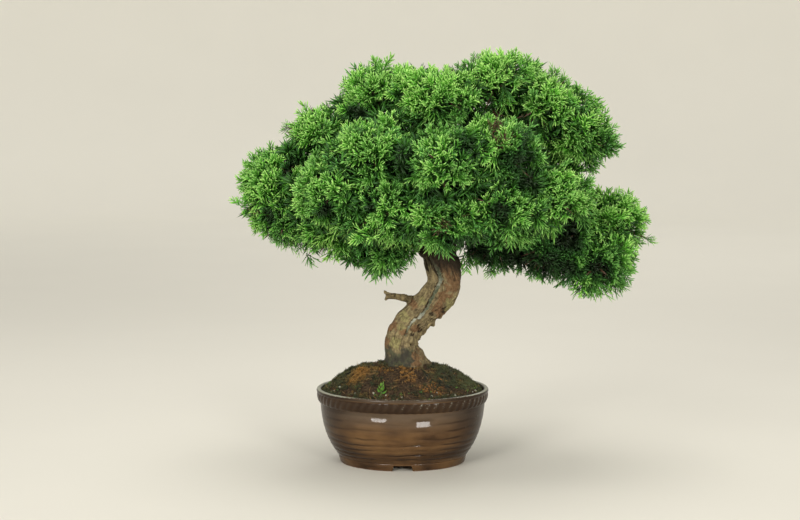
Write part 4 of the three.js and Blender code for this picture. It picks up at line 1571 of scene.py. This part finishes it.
@dataclass
class Wood:
    """The trunk, the dead branch, the roots and the boughs: one piece, grown as one."""

    place: Vector  # the middle of the pot's foot, in the frame
    voxel: float = 1.02 * MM
    fine: Triple = (58 * MM, 160 * MM, 34 * MM)  # lowest, highest and furthest fine faces
    # Places on the trunk's centre line, about the pot's middle, in millimetres.
    spine: tuple[Triple, ...] = (
        (3, 1, 50), (2.6, 0, 74), (-0.4, -0.5, 82.4), (-0.6, -1, 88), (0.8, -1, 94),
        (4.8, 0, 100.5), (12.8, 1.5, 109.5), (21.8, 3, 118), (28.4, 4, 127), (30.3, 4, 135),
        (27.4, 2, 149), (27.6, 1, 157),
    )
    # The ribbon of deadwood up the front: x, z and half its width, in millimetres.
    ribbon: tuple[Triple, ...] = (
        (2.2, 95, 0.3), (3.8, 100, 0.7), (7.7, 105.5, 1.0), (13.2, 109, 1.2), (18.2, 115, 1.3),
        (21, 121, 1.3), (23.7, 125.5, 1.1), (26, 130.5, 1.6), (28, 135.5, 2.0), (27, 141, 1.7),
        (23.7, 146.5, 1.6), (19.8, 153, 1.2),
    )
    # Stains on the bark: x, z and reach, in millimetres.
    ruddy: tuple[Triple, ...] = (
        (8, 117, 3), (-11, 88, 4), (8, 78, 6), (9, 100, 4), (38, 134, 8), (30, 123, 5),
        (27, 113, 6), (35, 147, 10), (-9, 102, 5), (0, 98, 3),
    )
    olive: tuple[Triple, ...] = (
        (-5, 90, 5), (1, 108.5, 4), (14, 119.5, 3.5), (34.5, 116, 5), (20, 150, 5), (-1, 101, 3),
    )
    hollows: tuple[Triple, ...] = (
        (13.2, 99, 3), (21.5, 104.7, 2.4), (28, 128.5, 2), (1, 118, 1.6), (10.5, 82.5, 2.6),
        (11.6, 91, 2.2), (23, 131.5, 1.6),
    )
    belly: tuple[Triple, ...] = ((33, 122, 8),)  # where the bark is wrinkled across
    jin_heights: Pair = (112 * MM, 131 * MM)
    relief: Relief = Relief()

    def centre(self, z: np.ndarray) -> tuple[np.ndarray, np.ndarray]:
        """The trunk's middle at each height."""
        x, y, up = (np.array(part) * MM for part in zip(*self.spine))
        return np.interp(z, up, x), np.interp(z, up, y)

    def build(self) -> None:
        """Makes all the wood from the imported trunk."""
        piece = copy_of_node("trunk", "trunk_wood")
        piece.data.transform(Matrix.Translation(-self.place))
        applied(piece, "REMESH", mode="VOXEL", voxel_size=self.voxel)
        applied(piece, "SMOOTH", factor=0.5, iterations=4)
        self.refine(piece)
        self.carve(piece)
        piece.data.transform(Matrix.Translation(self.place))
        shade_smooth(piece, math.radians(60))
        deliver(piece, Slot.BARK, Bark().material(), "trunk")

    def refine(self, piece: bpy.types.Object) -> None:
        """Divides the faces of the trunk and the roots, which show.

        Args:
            piece: the wood.
        """
        low, high, away = self.fine
        pick(piece)
        bpy.ops.object.mode_set(mode="EDIT")
        bpy.ops.mesh.select_mode(type="FACE")
        bpy.ops.mesh.select_all(action="DESELECT")
        bpy.ops.object.mode_set(mode="OBJECT")
        for face in piece.data.polygons:
            face.select = low < face.center.z < high and abs(face.center.y) < away
        bpy.ops.object.mode_set(mode="EDIT")
        bpy.ops.mesh.subdivide(number_cuts=1)
        bpy.ops.mesh.select_mode(type="VERT")
        bpy.ops.object.mode_set(mode="OBJECT")

    def carve(self, piece: bpy.types.Object) -> None:
        """Carves the bark and the ribbon of deadwood, and stores what shows on them.

        Args:
            piece: the wood, about the middle of the pot's foot.
        """
        points = points_of(piece)
        x, y, z = points.T
        middle_x, middle_y = self.centre(z)
        across, deep = x - middle_x, y - middle_y
        out, angle = np.hypot(across, deep), np.arctan2(deep, across)
        on_trunk = smooth_step(z, 163 * MM, 154 * MM) * smooth_step(out, 24 * MM, 17 * MM)
        low, high = self.jin_heights
        jin = smooth_step(-across, 14.5 * MM, 17 * MM) * (z > low) * (z < high) * (x < 4 * MM)
        grain = self.grain(points, out, angle, on_trunk)
        grooves = 1 - smooth_step(np.abs(rough(grain, 4.2, 1, 2)), 0.0, 0.13)
        creases = 1 - smooth_step(np.abs(rough(grain, 2.1, 2)), 0.0, 0.12)
        flake = smooth_step(rough(grain * (1, 1, 2.6), 3.0, 3), 0.0, 0.12)
        # The ribbon of deadwood, with a split along its upper edge.
        front = smooth_step(-deep, -1 * MM, 2.5 * MM) * on_trunk
        away, half_wide, side = self.beside_ribbon(points)
        away = away + 0.9 * MM * rough(points, 2.0 * MM, 8, 2)
        ribbon = (1 - smooth_step(away / half_wide, 0.55, 1.05)) * front
        seam = np.exp(-((away - 1.15 * half_wide) / (0.42 * MM)) ** 2) * front
        seam = seam * np.where(side > 0, 1.0, 0.3)
        # Crags under the bend on the right, wrinkles on the belly, hollows and knobs.
        bend = smooth_step(z, 80 * MM, 88 * MM) * smooth_step(z, 119 * MM, 108 * MM)
        crag = bend * smooth_step(np.cos(angle + 0.35), 0.2, 0.8) * on_trunk
        crags = rough(points, 4.6 * MM, 12, 2)
        wrinkles = np.sin(z / (0.36 * MM) + 2.5 * rough(points, 4 * MM, 15))
        wrinkles = wrinkles * (self.stain(points, self.belly) * front)
        holes = self.stain(points, self.hollows) * front
        most = self.relief
        knobs = most.knob * MM * rough(points, 8 * MM, 14) * on_trunk
        bark = (1 - 0.9 * ribbon) * (1 - 0.5 * jin)
        relief = bark * MM * (most.flake * flake - most.groove * grooves - most.crease * creases
                              + most.wrinkle * wrinkles)
        relief += MM * (most.crag * crag * crags + most.ribbon * ribbon - most.seam * seam
                        - most.hollow * holes) + knobs
        thick = smooth_step(z, 58 * MM, 66 * MM) * (0.3 + 0.7 * np.maximum(on_trunk, jin))
        move_points(piece, points + normals_of(piece) * (relief * thick)[:, None])
        # The grooves, creases, seam, hollows and the crags' deep parts are painted dark: partly the
        # bark's own dark fissures, partly painted shade in these recesses.
        deeps = crag * smooth_step(-crags, 0.05, 0.4)
        fissures_and_crevice_shade = (0.46 * grooves + 0.26 * creases) * bark + 0.62 * seam + 0.3 * holes + 0.6 * deeps
        # Painted shade under the crown and on the trunk's right, kept with the cracks; the dead
        # branch is darkened as well.
        gloom = 0.9 * smooth_step(z, 128 * MM, 152 * MM)
        gloom = gloom * (0.72 + 0.18 * smooth_step(across, -9 * MM, 4 * MM)) + 0.40 * jin
        right = smooth_step(across, 6 * MM, 13 * MM) * on_trunk
        gloom = gloom + 0.24 * right * smooth_step(z, 98 * MM, 112 * MM)
        edge = 9 * MM * rough(points, 6 * MM, 25, 3)
        roots = smooth_step(z + edge, 89 * MM, 81 * MM) * smooth_step(x + edge, 7 * MM, 2 * MM)
        # Two pale bands on the ribbon: bleached wood, partly a painted highlight.
        pale = np.exp(-((z - 107 * MM) / (4.5 * MM)) ** 2)
        pale = pale + 0.55 * np.exp(-((z - 133.5 * MM) / (3 * MM)) ** 2)
        store(piece, "grain", grain)
        store(piece, "crack_and_shade", np.clip(fissures_and_crevice_shade + gloom, 0, 1.3))
        store(piece, "dead", np.clip(ribbon * (1 - 0.3 * gloom) + 0.25 * jin, 0, 1))
        store(piece, "bleach_and_highlight", pale * ribbon * (0.7 + 0.6 * rough(points, 1.6 * MM, 27)))
        store(piece, "ruddy", self.stain(points, self.ruddy) + 0.3 * (1 - on_trunk))
        store(piece, "olive", self.stain(points, self.olive) + 0.3 * jin)
        store(piece, "damp", 0.8 * roots + 0.6 * smooth_step(z, 76 * MM, 70 * MM))

    @staticmethod
    def grain(points: np.ndarray, out: np.ndarray, angle: np.ndarray,
              on_trunk: np.ndarray) -> np.ndarray:
        """Places in the wood's grain, which runs up the trunk and winds a little round it.

        Args:
            points: shape (n, 3).
            out: how far each is from the trunk's middle.
            angle: in which direction it lies from there.
            on_trunk: 1 on the trunk and 0 on the boughs, where the grain runs along X.

        Returns:
            The places, in millimetres, shape (n, 3).
        """
        x, y, z = points.T
        climb = np.clip((z - 75 * MM) / (82 * MM), 0, 1)
        wind = angle + 0.9 * climb
        trunk = np.stack([out * np.cos(wind), out * np.sin(wind), z * 0.16], 1) / MM
        limb = np.stack([x * 0.45, y, z], 1) / MM
        return trunk * on_trunk[:, None] + limb * (1 - on_trunk)[:, None]

    def beside_ribbon(self, points: np.ndarray) -> tuple[np.ndarray, np.ndarray, np.ndarray]:
        """How points lie beside the ribbon of deadwood, seen from the front.

        Args:
            points: shape (n, 3).

        Returns:
            The distance to its middle, half its width there, and 1 above it or -1 below it.
        """
        route = np.array(self.ribbon) * MM
        flat = points[:, [0, 2]]
        nearest = np.full(len(points), 1.0)  # further than any point is
        half_wide = np.full(len(points), MM)
        side = np.ones(len(points))
        for start, end in zip(route, route[1:]):
            along = end[:2] - start[:2]
            share = np.clip((flat - start[:2]) @ along / (along @ along), 0, 1)
            gap = flat - (start[:2] + share[:, None] * along)
            far = np.hypot(gap[:, 0], gap[:, 1])
            closer = far < nearest
            nearest = np.where(closer, far, nearest)
            half_wide = np.where(closer, start[2] + share * (end[2] - start[2]), half_wide)
            side = np.where(closer, np.sign(along[0] * gap[:, 1] - along[1] * gap[:, 0]), side)
        return nearest, half_wide, side

    @staticmethod
    def stain(points: np.ndarray, spots: Sequence[Triple]) -> np.ndarray:
        """How strongly each point lies in one of some round stains, with uneven edges.

        Args:
            points: shape (n, 3).
            spots: x, z and reach of each, in millimetres.

        Returns:
            Numbers from 0 to 1.
        """
        uneven = 0.7 * rough(points, 3.2 * MM, 21, 2)
        found = np.zeros(len(points))
        for x, z, reach in spots:
            far = np.hypot(points[:, 0] - x * MM, points[:, 2] - z * MM) / (reach * MM)
            found = np.maximum(found, 1 - smooth_step(far + uneven, 0.45, 1.25))
        return found


# -------------------- foliage


@dataclass
class Tuft:
    """A tuft of foliage: branchlets that spread from one root, each with straight side shoots."""

    reach: float = 17 * MM  # from the root to the tips
    branchlet: float = 13.5 * MM
    shoot: float = 7.4 * MM  # the longest side shoots
    radius: float = 0.52 * MM
    opening: float = 0.95  # how far the outer ones lean, in radians
    branchlets: int = 6
    shoots: int = 9  # on each branchlet
    hanging_branchlets: int = 4  # in a hanging tuft
    hanging_shoots: int = 6  # on each of them
    hanging_shoot: float = 9.5 * MM
    hanging_radius: float = 0.42 * MM
    old_shoots: int = 26  # in the dark growth inside
    old_radius: float = 0.95 * MM

    def stalk(self, draw: random.Random, count: int, length: float, radius: float) -> Pattern:
        """One branchlet: a stem with side shoots that lean forward, nearly in one plane.

        Args:
            draw: the random draw.
            count: how many side shoots.
            length: of the longest of them.
            radius: of every shoot, where it is widest.

        Returns:
            The branchlet, along +Z.
        """
        stem = model_shoot(self.branchlet, radius * 0.95, 3, 0.8)
        side = model_shoot(length, radius, 3, 0.7)
        spots = [Spot(0, Matrix.Identity(4), 0.5)]
        for i in range(count):
            share = (i + 0.5) / count
            rise = Matrix.Translation((0, 0, self.branchlet * (0.20 + 0.62 * share)))
            roll = Matrix.Rotation(math.pi * (i % 2) + draw.gauss(0, 0.6), 4, "Z")
            lean = Matrix.Rotation(0.90 - 0.34 * share + draw.gauss(0, 0.08), 4, "X")
            size = (1.05 - 0.40 * share) * draw.uniform(0.82, 1.12)
            place = rise @ roll @ lean @ Matrix.Diagonal((1, 1, size, 1))
            spots.append(Spot(1, place, draw.random()))
        return Pattern.strewn([stem, side], spots)

    def model(self, seed: int) -> Pattern:
        """The whole tuft, along +Z, painted from its root to its tips.

        Args:
            seed: where its random numbers start.

        Returns:
            The tuft, rooted at the origin.
        """
        draw = random.Random(seed)
        stalks = [self.stalk(draw, self.shoots, self.shoot, self.radius) for _ in range(3)]
        spots = []
        for i in range(self.branchlets):
            tilt = self.opening * math.sqrt((i + 0.3) / self.branchlets) + draw.gauss(0, 0.07)
            heading = leaning(tilt, i * GOLDEN_ANGLE + draw.gauss(0, 0.25))
            start = heading * (self.reach - self.branchlet) * draw.uniform(0.5, 1.2)
            roll, kind = draw.uniform(0, ROLL), draw.randrange(len(stalks))
            place = placed(start, heading, roll, draw.uniform(0.8, 1.1))
            spots.append(Spot(kind, place, draw.random()))
        return Pattern.strewn(stalks, spots).shaded(0.2 * self.reach, 0.98 * self.reach, 0.45)

    def hanging(self, seed: int) -> Pattern:
        """A few long, thin branchlets along +Z, for the crown's underside.

        Args:
            seed: where their random numbers start.

        Returns:
            The branchlets, rooted at the origin.
        """
        draw = random.Random(seed)
        stalk = self.stalk(draw, self.hanging_shoots, self.hanging_shoot, self.hanging_radius)
        spots = []
        for i in range(self.hanging_branchlets):
            tilt = 0.55 * math.sqrt((i + 0.4) / self.hanging_branchlets)
            heading = leaning(tilt, i * GOLDEN_ANGLE + draw.gauss(0, 0.3))
            size = Matrix.Diagonal((0.85, 0.85, draw.uniform(0.85, 1.35), 1))
            spots.append(Spot(0, aim(heading, draw.uniform(0, ROLL)) @ size, draw.random()))
        return Pattern.strewn([stalk], spots).shaded(0.1 * self.reach, self.reach, 0.4)

    def old_growth(self) -> Pattern:
        """The dark growth inside the crown: stout shoots all round.

        Returns:
            The growth, about the origin.
        """
        draw = random.Random(Seed.OLD_GROWTH)
        shoot = model_shoot(self.reach * 0.75, self.old_radius, 3, 0.5)
        spots = []
        for i in range(self.old_shoots):
            heading = even_direction(i, self.old_shoots, Seed.OLD_GROWTH)
            place = placed(Vector(), jittered(heading, draw, 0.2), 0.0, draw.uniform(0.7, 1.1))
            spots.append(Spot(0, place, draw.random()))
        return Pattern.strewn([shoot], spots).shaded(-0.5 * self.reach, 2.2 * self.reach, 0.0)


@dataclass
class Crown:
    """All the foliage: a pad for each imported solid, covered in tufts."""

    place: Vector  # the middle of the pot's foot, in the frame
    tuft: Tuft = field(default_factory=Tuft)
    kinds: int = 7
    hanging: int = 3  # kinds of hanging tuft
    tufts: int = 66  # on each pad, before the hidden ones are left out
    inner: int = 20  # dark ones inside each pad
    drooping: float = 0.8  # share of the tufts underneath that hang
    bald: float = 0.06  # share of tufts that are only a bare brown twig
    fill: float = 0.955  # how much of its solid's box a pad fills
    merge: float = 1.7  # how sharply one pad's skin parts from the next one's
    stretch: float = 1.42  # how far the skin may stand out past a pad's size
    lump: float = 0.65  # how uneven the skin is
    lump_size: float = 15 * MM
    ragged: float = 2.6 * MM  # how unevenly the tufts stand out
    sunk: float = 11 * MM  # how far they stand back in the openings
    sizes: Pair = (0.84, 1.12)  # of the tufts
    outward: float = 0.3  # how much they lean out from the crown's middle
    upward: float = 0.12
    spread: float = 0.31  # how unevenly they lean
    dry_reach: float = 6 * MM  # how far round its place a dry spray may stand
    dry_share: float = 0.5  # share of the tufts there that are dry
    # Front openings onto the crown's dark inside, painted with shade: x, z and reach about the
    # pot's middle.
    openings: tuple[Triple, ...] = (
        (-2, 224, 12), (86, 245, 12), (82, 227, 14), (87, 214, 11), (44, 239, 10), (117, 168, 15),
        (103, 151, 14), (122, 178, 10), (68, 194, 9), (141, 148, 10), (41, 167, 12), (-32, 257, 8),
        (-98, 184, 8), (-54, 190, 9), (55, 157, 11), (76, 154, 11), (92, 149, 10), (18, 203, 7),
        (-24, 197, 6), (-84, 216, 7), (60, 264, 6),
    )
    # The underside right of the trunk, painted with shade in the same way.
    underside: tuple[Triple, ...] = (
        (48, 158, 9), (62, 154, 12), (76, 152, 13), (90, 149, 13), (104, 145, 12), (117, 146, 12),
    )
    # Dry brown sprays on the front, x and z in the same way.
    dry: tuple[Pair, ...] = (
        (55, 294), (92, 265), (15, 254), (-9, 267), (70, 253), (82, 241), (7, 236), (46, 216),
        (-83, 223), (150, 166), (-39, 258), (-5, 190), (66, 186), (5, 222), (30, 187), (29, 178),
        (112, 160),
    )
    # Dark growth behind thin places of the crown, partly painted shade: x, z and y about the pot's
    # middle.
    backing: tuple[Triple, ...] = (
        (50, 252, 6), (46, 247, 6), (104, 223, 6), (96, 221, 6), (109, 217, 6), (125, 216, 4),
    )
    # The tips of sprigs that stand out of the crown: x, z and y about the pot's middle.
    sprigs: tuple[Triple, ...] = (
        (185, 162, -4), (111, 291, -6), (120, 284, -4), (64, 137, -14), (163, 128, -10),
        (-90, 247, 2), (-85, 158, -8), (-32, 148, -14), (-112, 172, 0), (45, 151, -12),
        (56, 148, -16), (64, 138, -10), (73, 145, -20), (81, 141, -14), (90, 138, -22),
        (99, 136, -12), (110, 133, -18), (-79, 158, -10), (-72, 154, -4), (-34, 146, -6),
        (-27, 142, -12), (-42, 151, -2),
    )
    sprig_tufts: tuple[Pair, ...] = ((0.0, 0.62), (9 * MM, 0.75))  # way back from the tip, size
    middles: dict[str, Vector] = field(init=False)  # of every pad, by its node's name
    halves: dict[str, Vector] = field(init=False)  # half sizes, in the same way
    heart: Vector = field(init=False)  # the middle of all the middles

    def __post_init__(self) -> None:
        """Finds where the pads are and how large."""
        names = sorted(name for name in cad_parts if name.startswith("foliage_"))
        boxes = {name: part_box(name) for name in names}
        self.middles = {name: (low + high) / 2 for name, (low, high) in boxes.items()}
        self.halves = {name: (high - low) / 2 * self.fill for name, (low, high) in boxes.items()}
        self.heart = sum(self.middles.values(), Vector()) / len(names)

    @property
    def dry_kind(self) -> int:
        """The dry spray's number among the patterns; the old growth's and the twig's follow."""
        return self.kinds + self.hanging

    def patterns(self) -> list[Pattern]:
        """The tufts, the hanging ones, a dry one, the old growth and a twig of unit size.

        Returns:
            One pattern for each kind, in that order.
        """
        found = [self.tuft.model(seed) for seed in range(self.kinds)]
        found += [self.tuft.hanging(seed) for seed in range(self.hanging)]
        for one in found:
            one.mixed = 0.62
        dry = self.tuft.hanging(Seed.DRY_SPRAY)
        dry.paint[:, 0] = 0.012
        old = self.tuft.old_growth()
        twig = model_shoot(1.0, 1.0, 4, 0.5)
        twig.paint[:, 0] = 0.006
        return found + [dry, old, twig]

    def build(self) -> None:
        """Makes every pad."""
        patterns = self.patterns()
        green = JUNIPER.material()
        for number, name in enumerate(self.middles):
            pad = Pattern.strewn(patterns, self.spots(number, name))
            self.darken(pad, self.middles[name], self.halves[name])
            deliver(pad.made(name + "_sprays"), Slot.FOLIAGE, green, name)

    def spots(self, number: int, name: str) -> list[Spot]:
        """The spots of all that grows on one pad.

        Args:
            number: the pad's place in the list of pads.
            name: its node.

        Returns:
            The spots.
        """
        draw = random.Random(Seed.PADS + number)
        middle, half = self.middles[name], self.halves[name]
        spots = []
        for i in range(self.tufts):
            out = jittered(even_direction(i, self.tufts, number), draw, 0.12)
            tip = self.skin(name, out)
            if tip is None:
                spots.append(self.old(middle + scaled(out, half) * 1.02, draw))
            else:
                spots += self.grow(tip, out, middle, half, draw)
        for i in range(self.inner):
            out = even_direction(i, self.inner, number + 0.5)
            spots.append(self.old(middle + scaled(out, half) * 0.5, draw))
        for at in self.nearest(name, self.sprigs):
            spots += self.sprig(at, middle, draw)
        for at in self.nearest(name, self.backing):
            spots += [self.old(at + random_heading(draw) * 3 * MM, draw) for _ in range(3)]
        return spots

    def nearest(self, name: str, places: Sequence[Triple]) -> Iterator[Vector]:
        """Those of some places, given as x, z and y, that lie nearest to one pad's middle."""
        for x, z, y in places:
            at = self.place + Vector((x, y, z)) * MM
            if min(self.middles, key=lambda other: (self.middles[other] - at).length) == name:
                yield at

    def skin(self, name: str, out: Vector) -> Vector | None:
        """Where the crown's skin is, out from a pad's middle.

        The pads run into each other: between two of them the skin stands further out than
        either would alone.

        Args:
            name: the pad.
            out: the way from its middle, on a unit sphere.

        Returns:
            The point, or None where the way leads into another pad.
        """
        step = scaled(out, self.halves[name])
        centre = np.array(list(self.middles.values()))
        size = np.array(list(self.halves.values()))
        for share in np.arange(0.86, self.stretch, 0.04):
            point = self.middles[name] + step * share
            far = (((np.array(point) - centre) / size) ** 2).sum(1)
            lumps = self.lump * noise.noise(point / self.lump_size)
            if np.exp(self.merge * (1 - far)).sum() < 1 + lumps:
                return point
        return None

    def opened(self, tip: Vector, out: Vector) -> float:
        """How far a tuft's place lies in one of the front's openings, from 0 to 1.

        Args:
            tip: its place.
            out: the way out of the crown there.

        Returns:
            1 in the middle of an opening.
        """
        if out.y > -0.15:
            return 0.0
        x = tip.x - self.place.x + 5 * MM * noise.noise(tip / (8 * MM))
        z = tip.z + 5 * MM * noise.noise(-tip / (8 * MM))
        deep = max(1.6 * (1 - math.hypot(x - at_x * MM, z - at_z * MM) / (reach * MM))
                   for at_x, at_z, reach in self.openings)
        return min(deep, 1.0)

    def darken(self, pad: Pattern, middle: Vector, half: Vector) -> None:
        """Paints shade on a pad where its front opens onto the crown's inside, and underneath.

        Args:
            pad: the pad, in its place.
            middle: the pad's middle.
            half: the pad's half sizes.
        """
        out = (pad.points - np.array(middle)) / np.array(half)
        facing = -out[:, 1] / np.maximum(np.linalg.norm(out, axis=1), 0.1)
        facing = smooth_step(facing, 0.0, 0.5)
        x, y, z = (pad.points[:, axis] / MM - self.place[axis] / MM for axis in range(3))
        wave = np.sin(z / 3.3 + 1.7 * np.sin(x / 5.1))
        swirl = np.sin(x / 3.9 + 1.9 * np.sin(z / 4.7 + y / 6))
        x, z = x + 2.4 * wave, z + 2.4 * swirl
        dark = np.zeros(len(x))
        for spots, weight in ((self.openings, 0.8 * facing), (self.underside, 0.75)):
            for at_x, at_z, reach in spots:
                far = np.hypot(x - at_x, z - at_z) / reach
                dark = np.maximum(dark, weight * (1 - smooth_step(far, 0.1, 1.25)))
        left = (1 - dark)[pad.corners]
        green = pad.paint[:, 0] > 0.03
        pad.paint[green, 0] = np.maximum(pad.paint[green, 0] * left[green], 0.045)
        pad.paint[:, 1] *= left

    def beside_dry(self, tip: Vector) -> float:
        """How far a tuft is from the nearest dry spray, seen from the front."""
        x, z = tip.x - self.place.x, tip.z
        return min(math.hypot(x - at_x * MM, z - at_z * MM) for at_x, at_z in self.dry)

    def sprig(self, tip: Vector, middle: Vector, draw: random.Random) -> list[Spot]:
        """The spots of a sprig that stands out of the crown: its twig and two small tufts.

        Args:
            tip: where it ends.
            middle: the middle of the pad that carries it.
            draw: the random draw.

        Returns:
            The spots.
        """
        limb = (tip - middle) * 0.93
        spots = [Spot(self.dry_kind + 2, drawn_out(middle, limb, 0.8 * MM, limb.length), 0.5)]
        for back, size in self.sprig_tufts:
            root = tip - limb.normalized() * (back + self.tuft.reach * size)
            place = placed(root, limb, draw.uniform(0, ROLL), size)
            spots.append(Spot(self.kinds + draw.randrange(self.hanging), place, 0.5))
        return spots

    def old(self, root: Vector, draw: random.Random) -> Spot:
        """A spot for the dark growth inside: its low tint is partly the colour of old growth and
        partly painted shade.
        """
        place = placed(root, random_heading(draw), 0.0, draw.uniform(0.85, 1.15))
        return Spot(self.dry_kind + 1, place, draw.uniform(0.0, 0.2))

    def grow(self, tip: Vector, out: Vector, middle: Vector, half: Vector,
             draw: random.Random) -> list[Spot]:
        """The spots of one tuft and of the twiglet that carries it.

        Args:
            tip: where the tuft's tips reach.
            out: the way from the pad's middle, on a unit sphere.
            middle: the pad's middle.
            half: the pad's half sizes.
            draw: the random draw.

        Returns:
            Two spots, or one where the twiglet is bare.
        """
        facing = Vector(a / b for a, b in zip(out, half)).normalized()
        heading = facing + self.outward * (tip - self.heart).normalized()
        heading = jittered(heading + Vector((0, 0, self.upward)), draw, self.spread)
        size = draw.uniform(*self.sizes)
        deep = self.opened(tip, out)
        uneven = min(draw.gauss(0, self.ragged), self.ragged)
        root = tip - heading * (self.tuft.reach * size - uneven + self.sunk * max(deep, 0))
        # Tufts in the openings get a darker tint still, as painted shade.
        tint = self.tint(tip, heading) + draw.gauss(0, 0.15) - 0.45 * max(deep + 0.4, 0)
        bare = draw.random() < self.bald
        limb = (tip - heading * 4 * MM if bare else root) - middle
        wide = (1.0 if bare else 0.6) * MM
        spots = [Spot(self.dry_kind + 2, drawn_out(middle, limb, wide, limb.length * 1.1), 0.5)]
        kind = draw.randrange(self.kinds)
        if out.z < -0.3 and draw.random() < self.drooping:
            kind = self.kinds + draw.randrange(self.hanging)
            heading = (heading * 0.7 + Vector((0, 0, -0.8))).normalized()
            root += Vector((0, 0, 3 * MM))
        if out.y < 0 and self.beside_dry(tip) < self.dry_reach and draw.random() < self.dry_share:
            kind = self.dry_kind
        if not bare:
            place = placed(root, heading, draw.uniform(0, ROLL), size)
            spots.append(Spot(kind, place, clamped(tint, *TINTS)))
        return spots

    def tint(self, tip: Vector, heading: Vector) -> float:
        """How bright a tuft is before chance and the openings, by where it is and how it leans:
        painted light makes tufts that stand high and lean up brighter.
        """
        patch = noise.noise(tip / (34 * MM)) + 0.5 * noise.noise(tip / (12 * MM))
        across = (tip.x - self.heart.x) / (100 * MM)
        rise = (tip.z - self.heart.z) / (80 * MM) - 0.35 * across
        return 0.48 + 0.14 * heading.z + 0.12 * rise + 0.09 * abs(across) + 0.34 * patch


# -------------------- studio


@dataclass(frozen=True)
class Lamp:
    """A soft rectangular light that shines at the tree's middle."""

    name: str
    at: Triple  # about the middle of the pot's foot
    size: Pair
    power: float  # in watts
    spread: float | None = None  # narrower than the half sphere, in radians


@dataclass
class Studio:
    """The pale floor and backdrop, the soft lights and the camera."""

    place: Vector  # the middle of the pot's foot, in the frame
    eye: Vector = field(default_factory=lambda: Vector((-1.85, -1379, 311.5)) * MM)
    tilt: float = math.radians(6.72)  # how far the camera looks down
    lens: float = 85.5
    focus: Vector = field(default_factory=lambda: Vector((0, 0, 0.16)))  # what the lamps face
    flat: float = 1.9  # how far out the floor is flat
    cove: float = 0.5  # the radius of its bend up into the wall
    wall: float = 1.4  # how high that goes
    turns: int = 128
    lamp_colour: Colour = (1.0, 0.975, 0.94)
    lamps: tuple[Lamp, ...] = (
        Lamp("key", (-0.75, -1.25, 1.25), (0.9, 0.7), 7.2),
        Lamp("fill", (0.95, -1.1, 0.85), (0.7, 0.9), 1.8),
        Lamp("top", (0.0, 0.15, 1.5), (1.2, 1.0), 11.0),
        Lamp("back", (0.5, 1.35, 1.15), (0.9, 0.7), 5.0),
        Lamp("left_window", (-0.70, -1.3, 0.54), (0.42, 0.24), 1.0, math.radians(60)),
        Lamp("right_window", (0.62, -1.3, 0.48), (0.36, 0.24), 0.85, math.radians(60)),
    )
    air: Colour = (0.93, 0.96, 1.0)
    air_strength: float = 0.37

    def build(self) -> None:
        """Sets up everything round the object."""
        self.floor()
        target = self.place + self.focus
        for lamp in self.lamps:
            light = added(bpy.ops.object.light_add, type="AREA",
                          location=target + Vector(lamp.at) - self.focus)
            light.name = lamp.name
            light.rotation_euler = (light.location - target).to_track_quat("Z", "Y").to_euler()
            light.data.shape = "RECTANGLE"
            light.data.size, light.data.size_y = lamp.size
            light.data.energy = lamp.power
            light.data.color = self.lamp_colour
            if lamp.spread is not None:
                light.data.spread = lamp.spread
            light.visible_camera = False
        world = bpy.data.worlds.new("studio_air")
        world.use_nodes = True
        background = world.node_tree.nodes["Background"]
        background.inputs["Color"].default_value = (*self.air, 1)
        background.inputs["Strength"].default_value = self.air_strength
        bpy.context.scene.world = world
        bpy.context.scene.view_settings.view_transform = "Standard"
        camera = added(bpy.ops.object.camera_add, location=self.place + self.eye,
                       rotation=(math.pi / 2 - self.tilt, 0, 0))
        camera.data.lens = self.lens
        bpy.context.scene.camera = camera

    def floor(self) -> None:
        """A round pale floor that bends up into a wall all round."""
        bends = [math.radians(turn) for turn in range(6, 91, 6)]
        outline = [(0, 0), (self.flat, 0)]
        outline += [(self.flat + self.cove * math.sin(bend), self.cove * (1 - math.cos(bend)))
                    for bend in bends]
        outline.append((self.flat + self.cove, self.wall))
        sheet = turned("studio_floor", outline, self.turns)
        shade_smooth(sheet)
        sheet.data.materials.append(Backdrop().material())


def cushions(place: Vector) -> tuple[Cushion, Cushion]:
    """The two cushions of moss, about the middle of the pot's foot.

    Args:
        place: that middle, in the frame.

    Returns:
        The right one and the left one.
    """
    return (
        Cushion("moss_right", place + Vector((20, -16, 66)) * MM, 7 * MM, Seed.MOSS_RIGHT,
                sunk=3.0 * MM, dryness=0.02, growth=1.35, fresh=place + Vector((52, -14, 58)) * MM),
        Cushion("moss_left", place + Vector((-29, -17, 66)) * MM, 15 * MM, Seed.MOSS_LEFT,
                sunk=1.4 * MM, dryness=0.12, growth=1.1),
    )


def main() -> None:
    """Builds the studio and every piece in order."""
    logging.basicConfig(level=logging.INFO, format="%(message)s")
    random.seed(Seed.ALL)
    place = pot_place()
    for part in (Studio(place), Pot(place), Soil(place), *cushions(place), Seedling(), Wood(place),
                 Crown(place)):
        part.build()


if __name__ == "__main__":
    main()
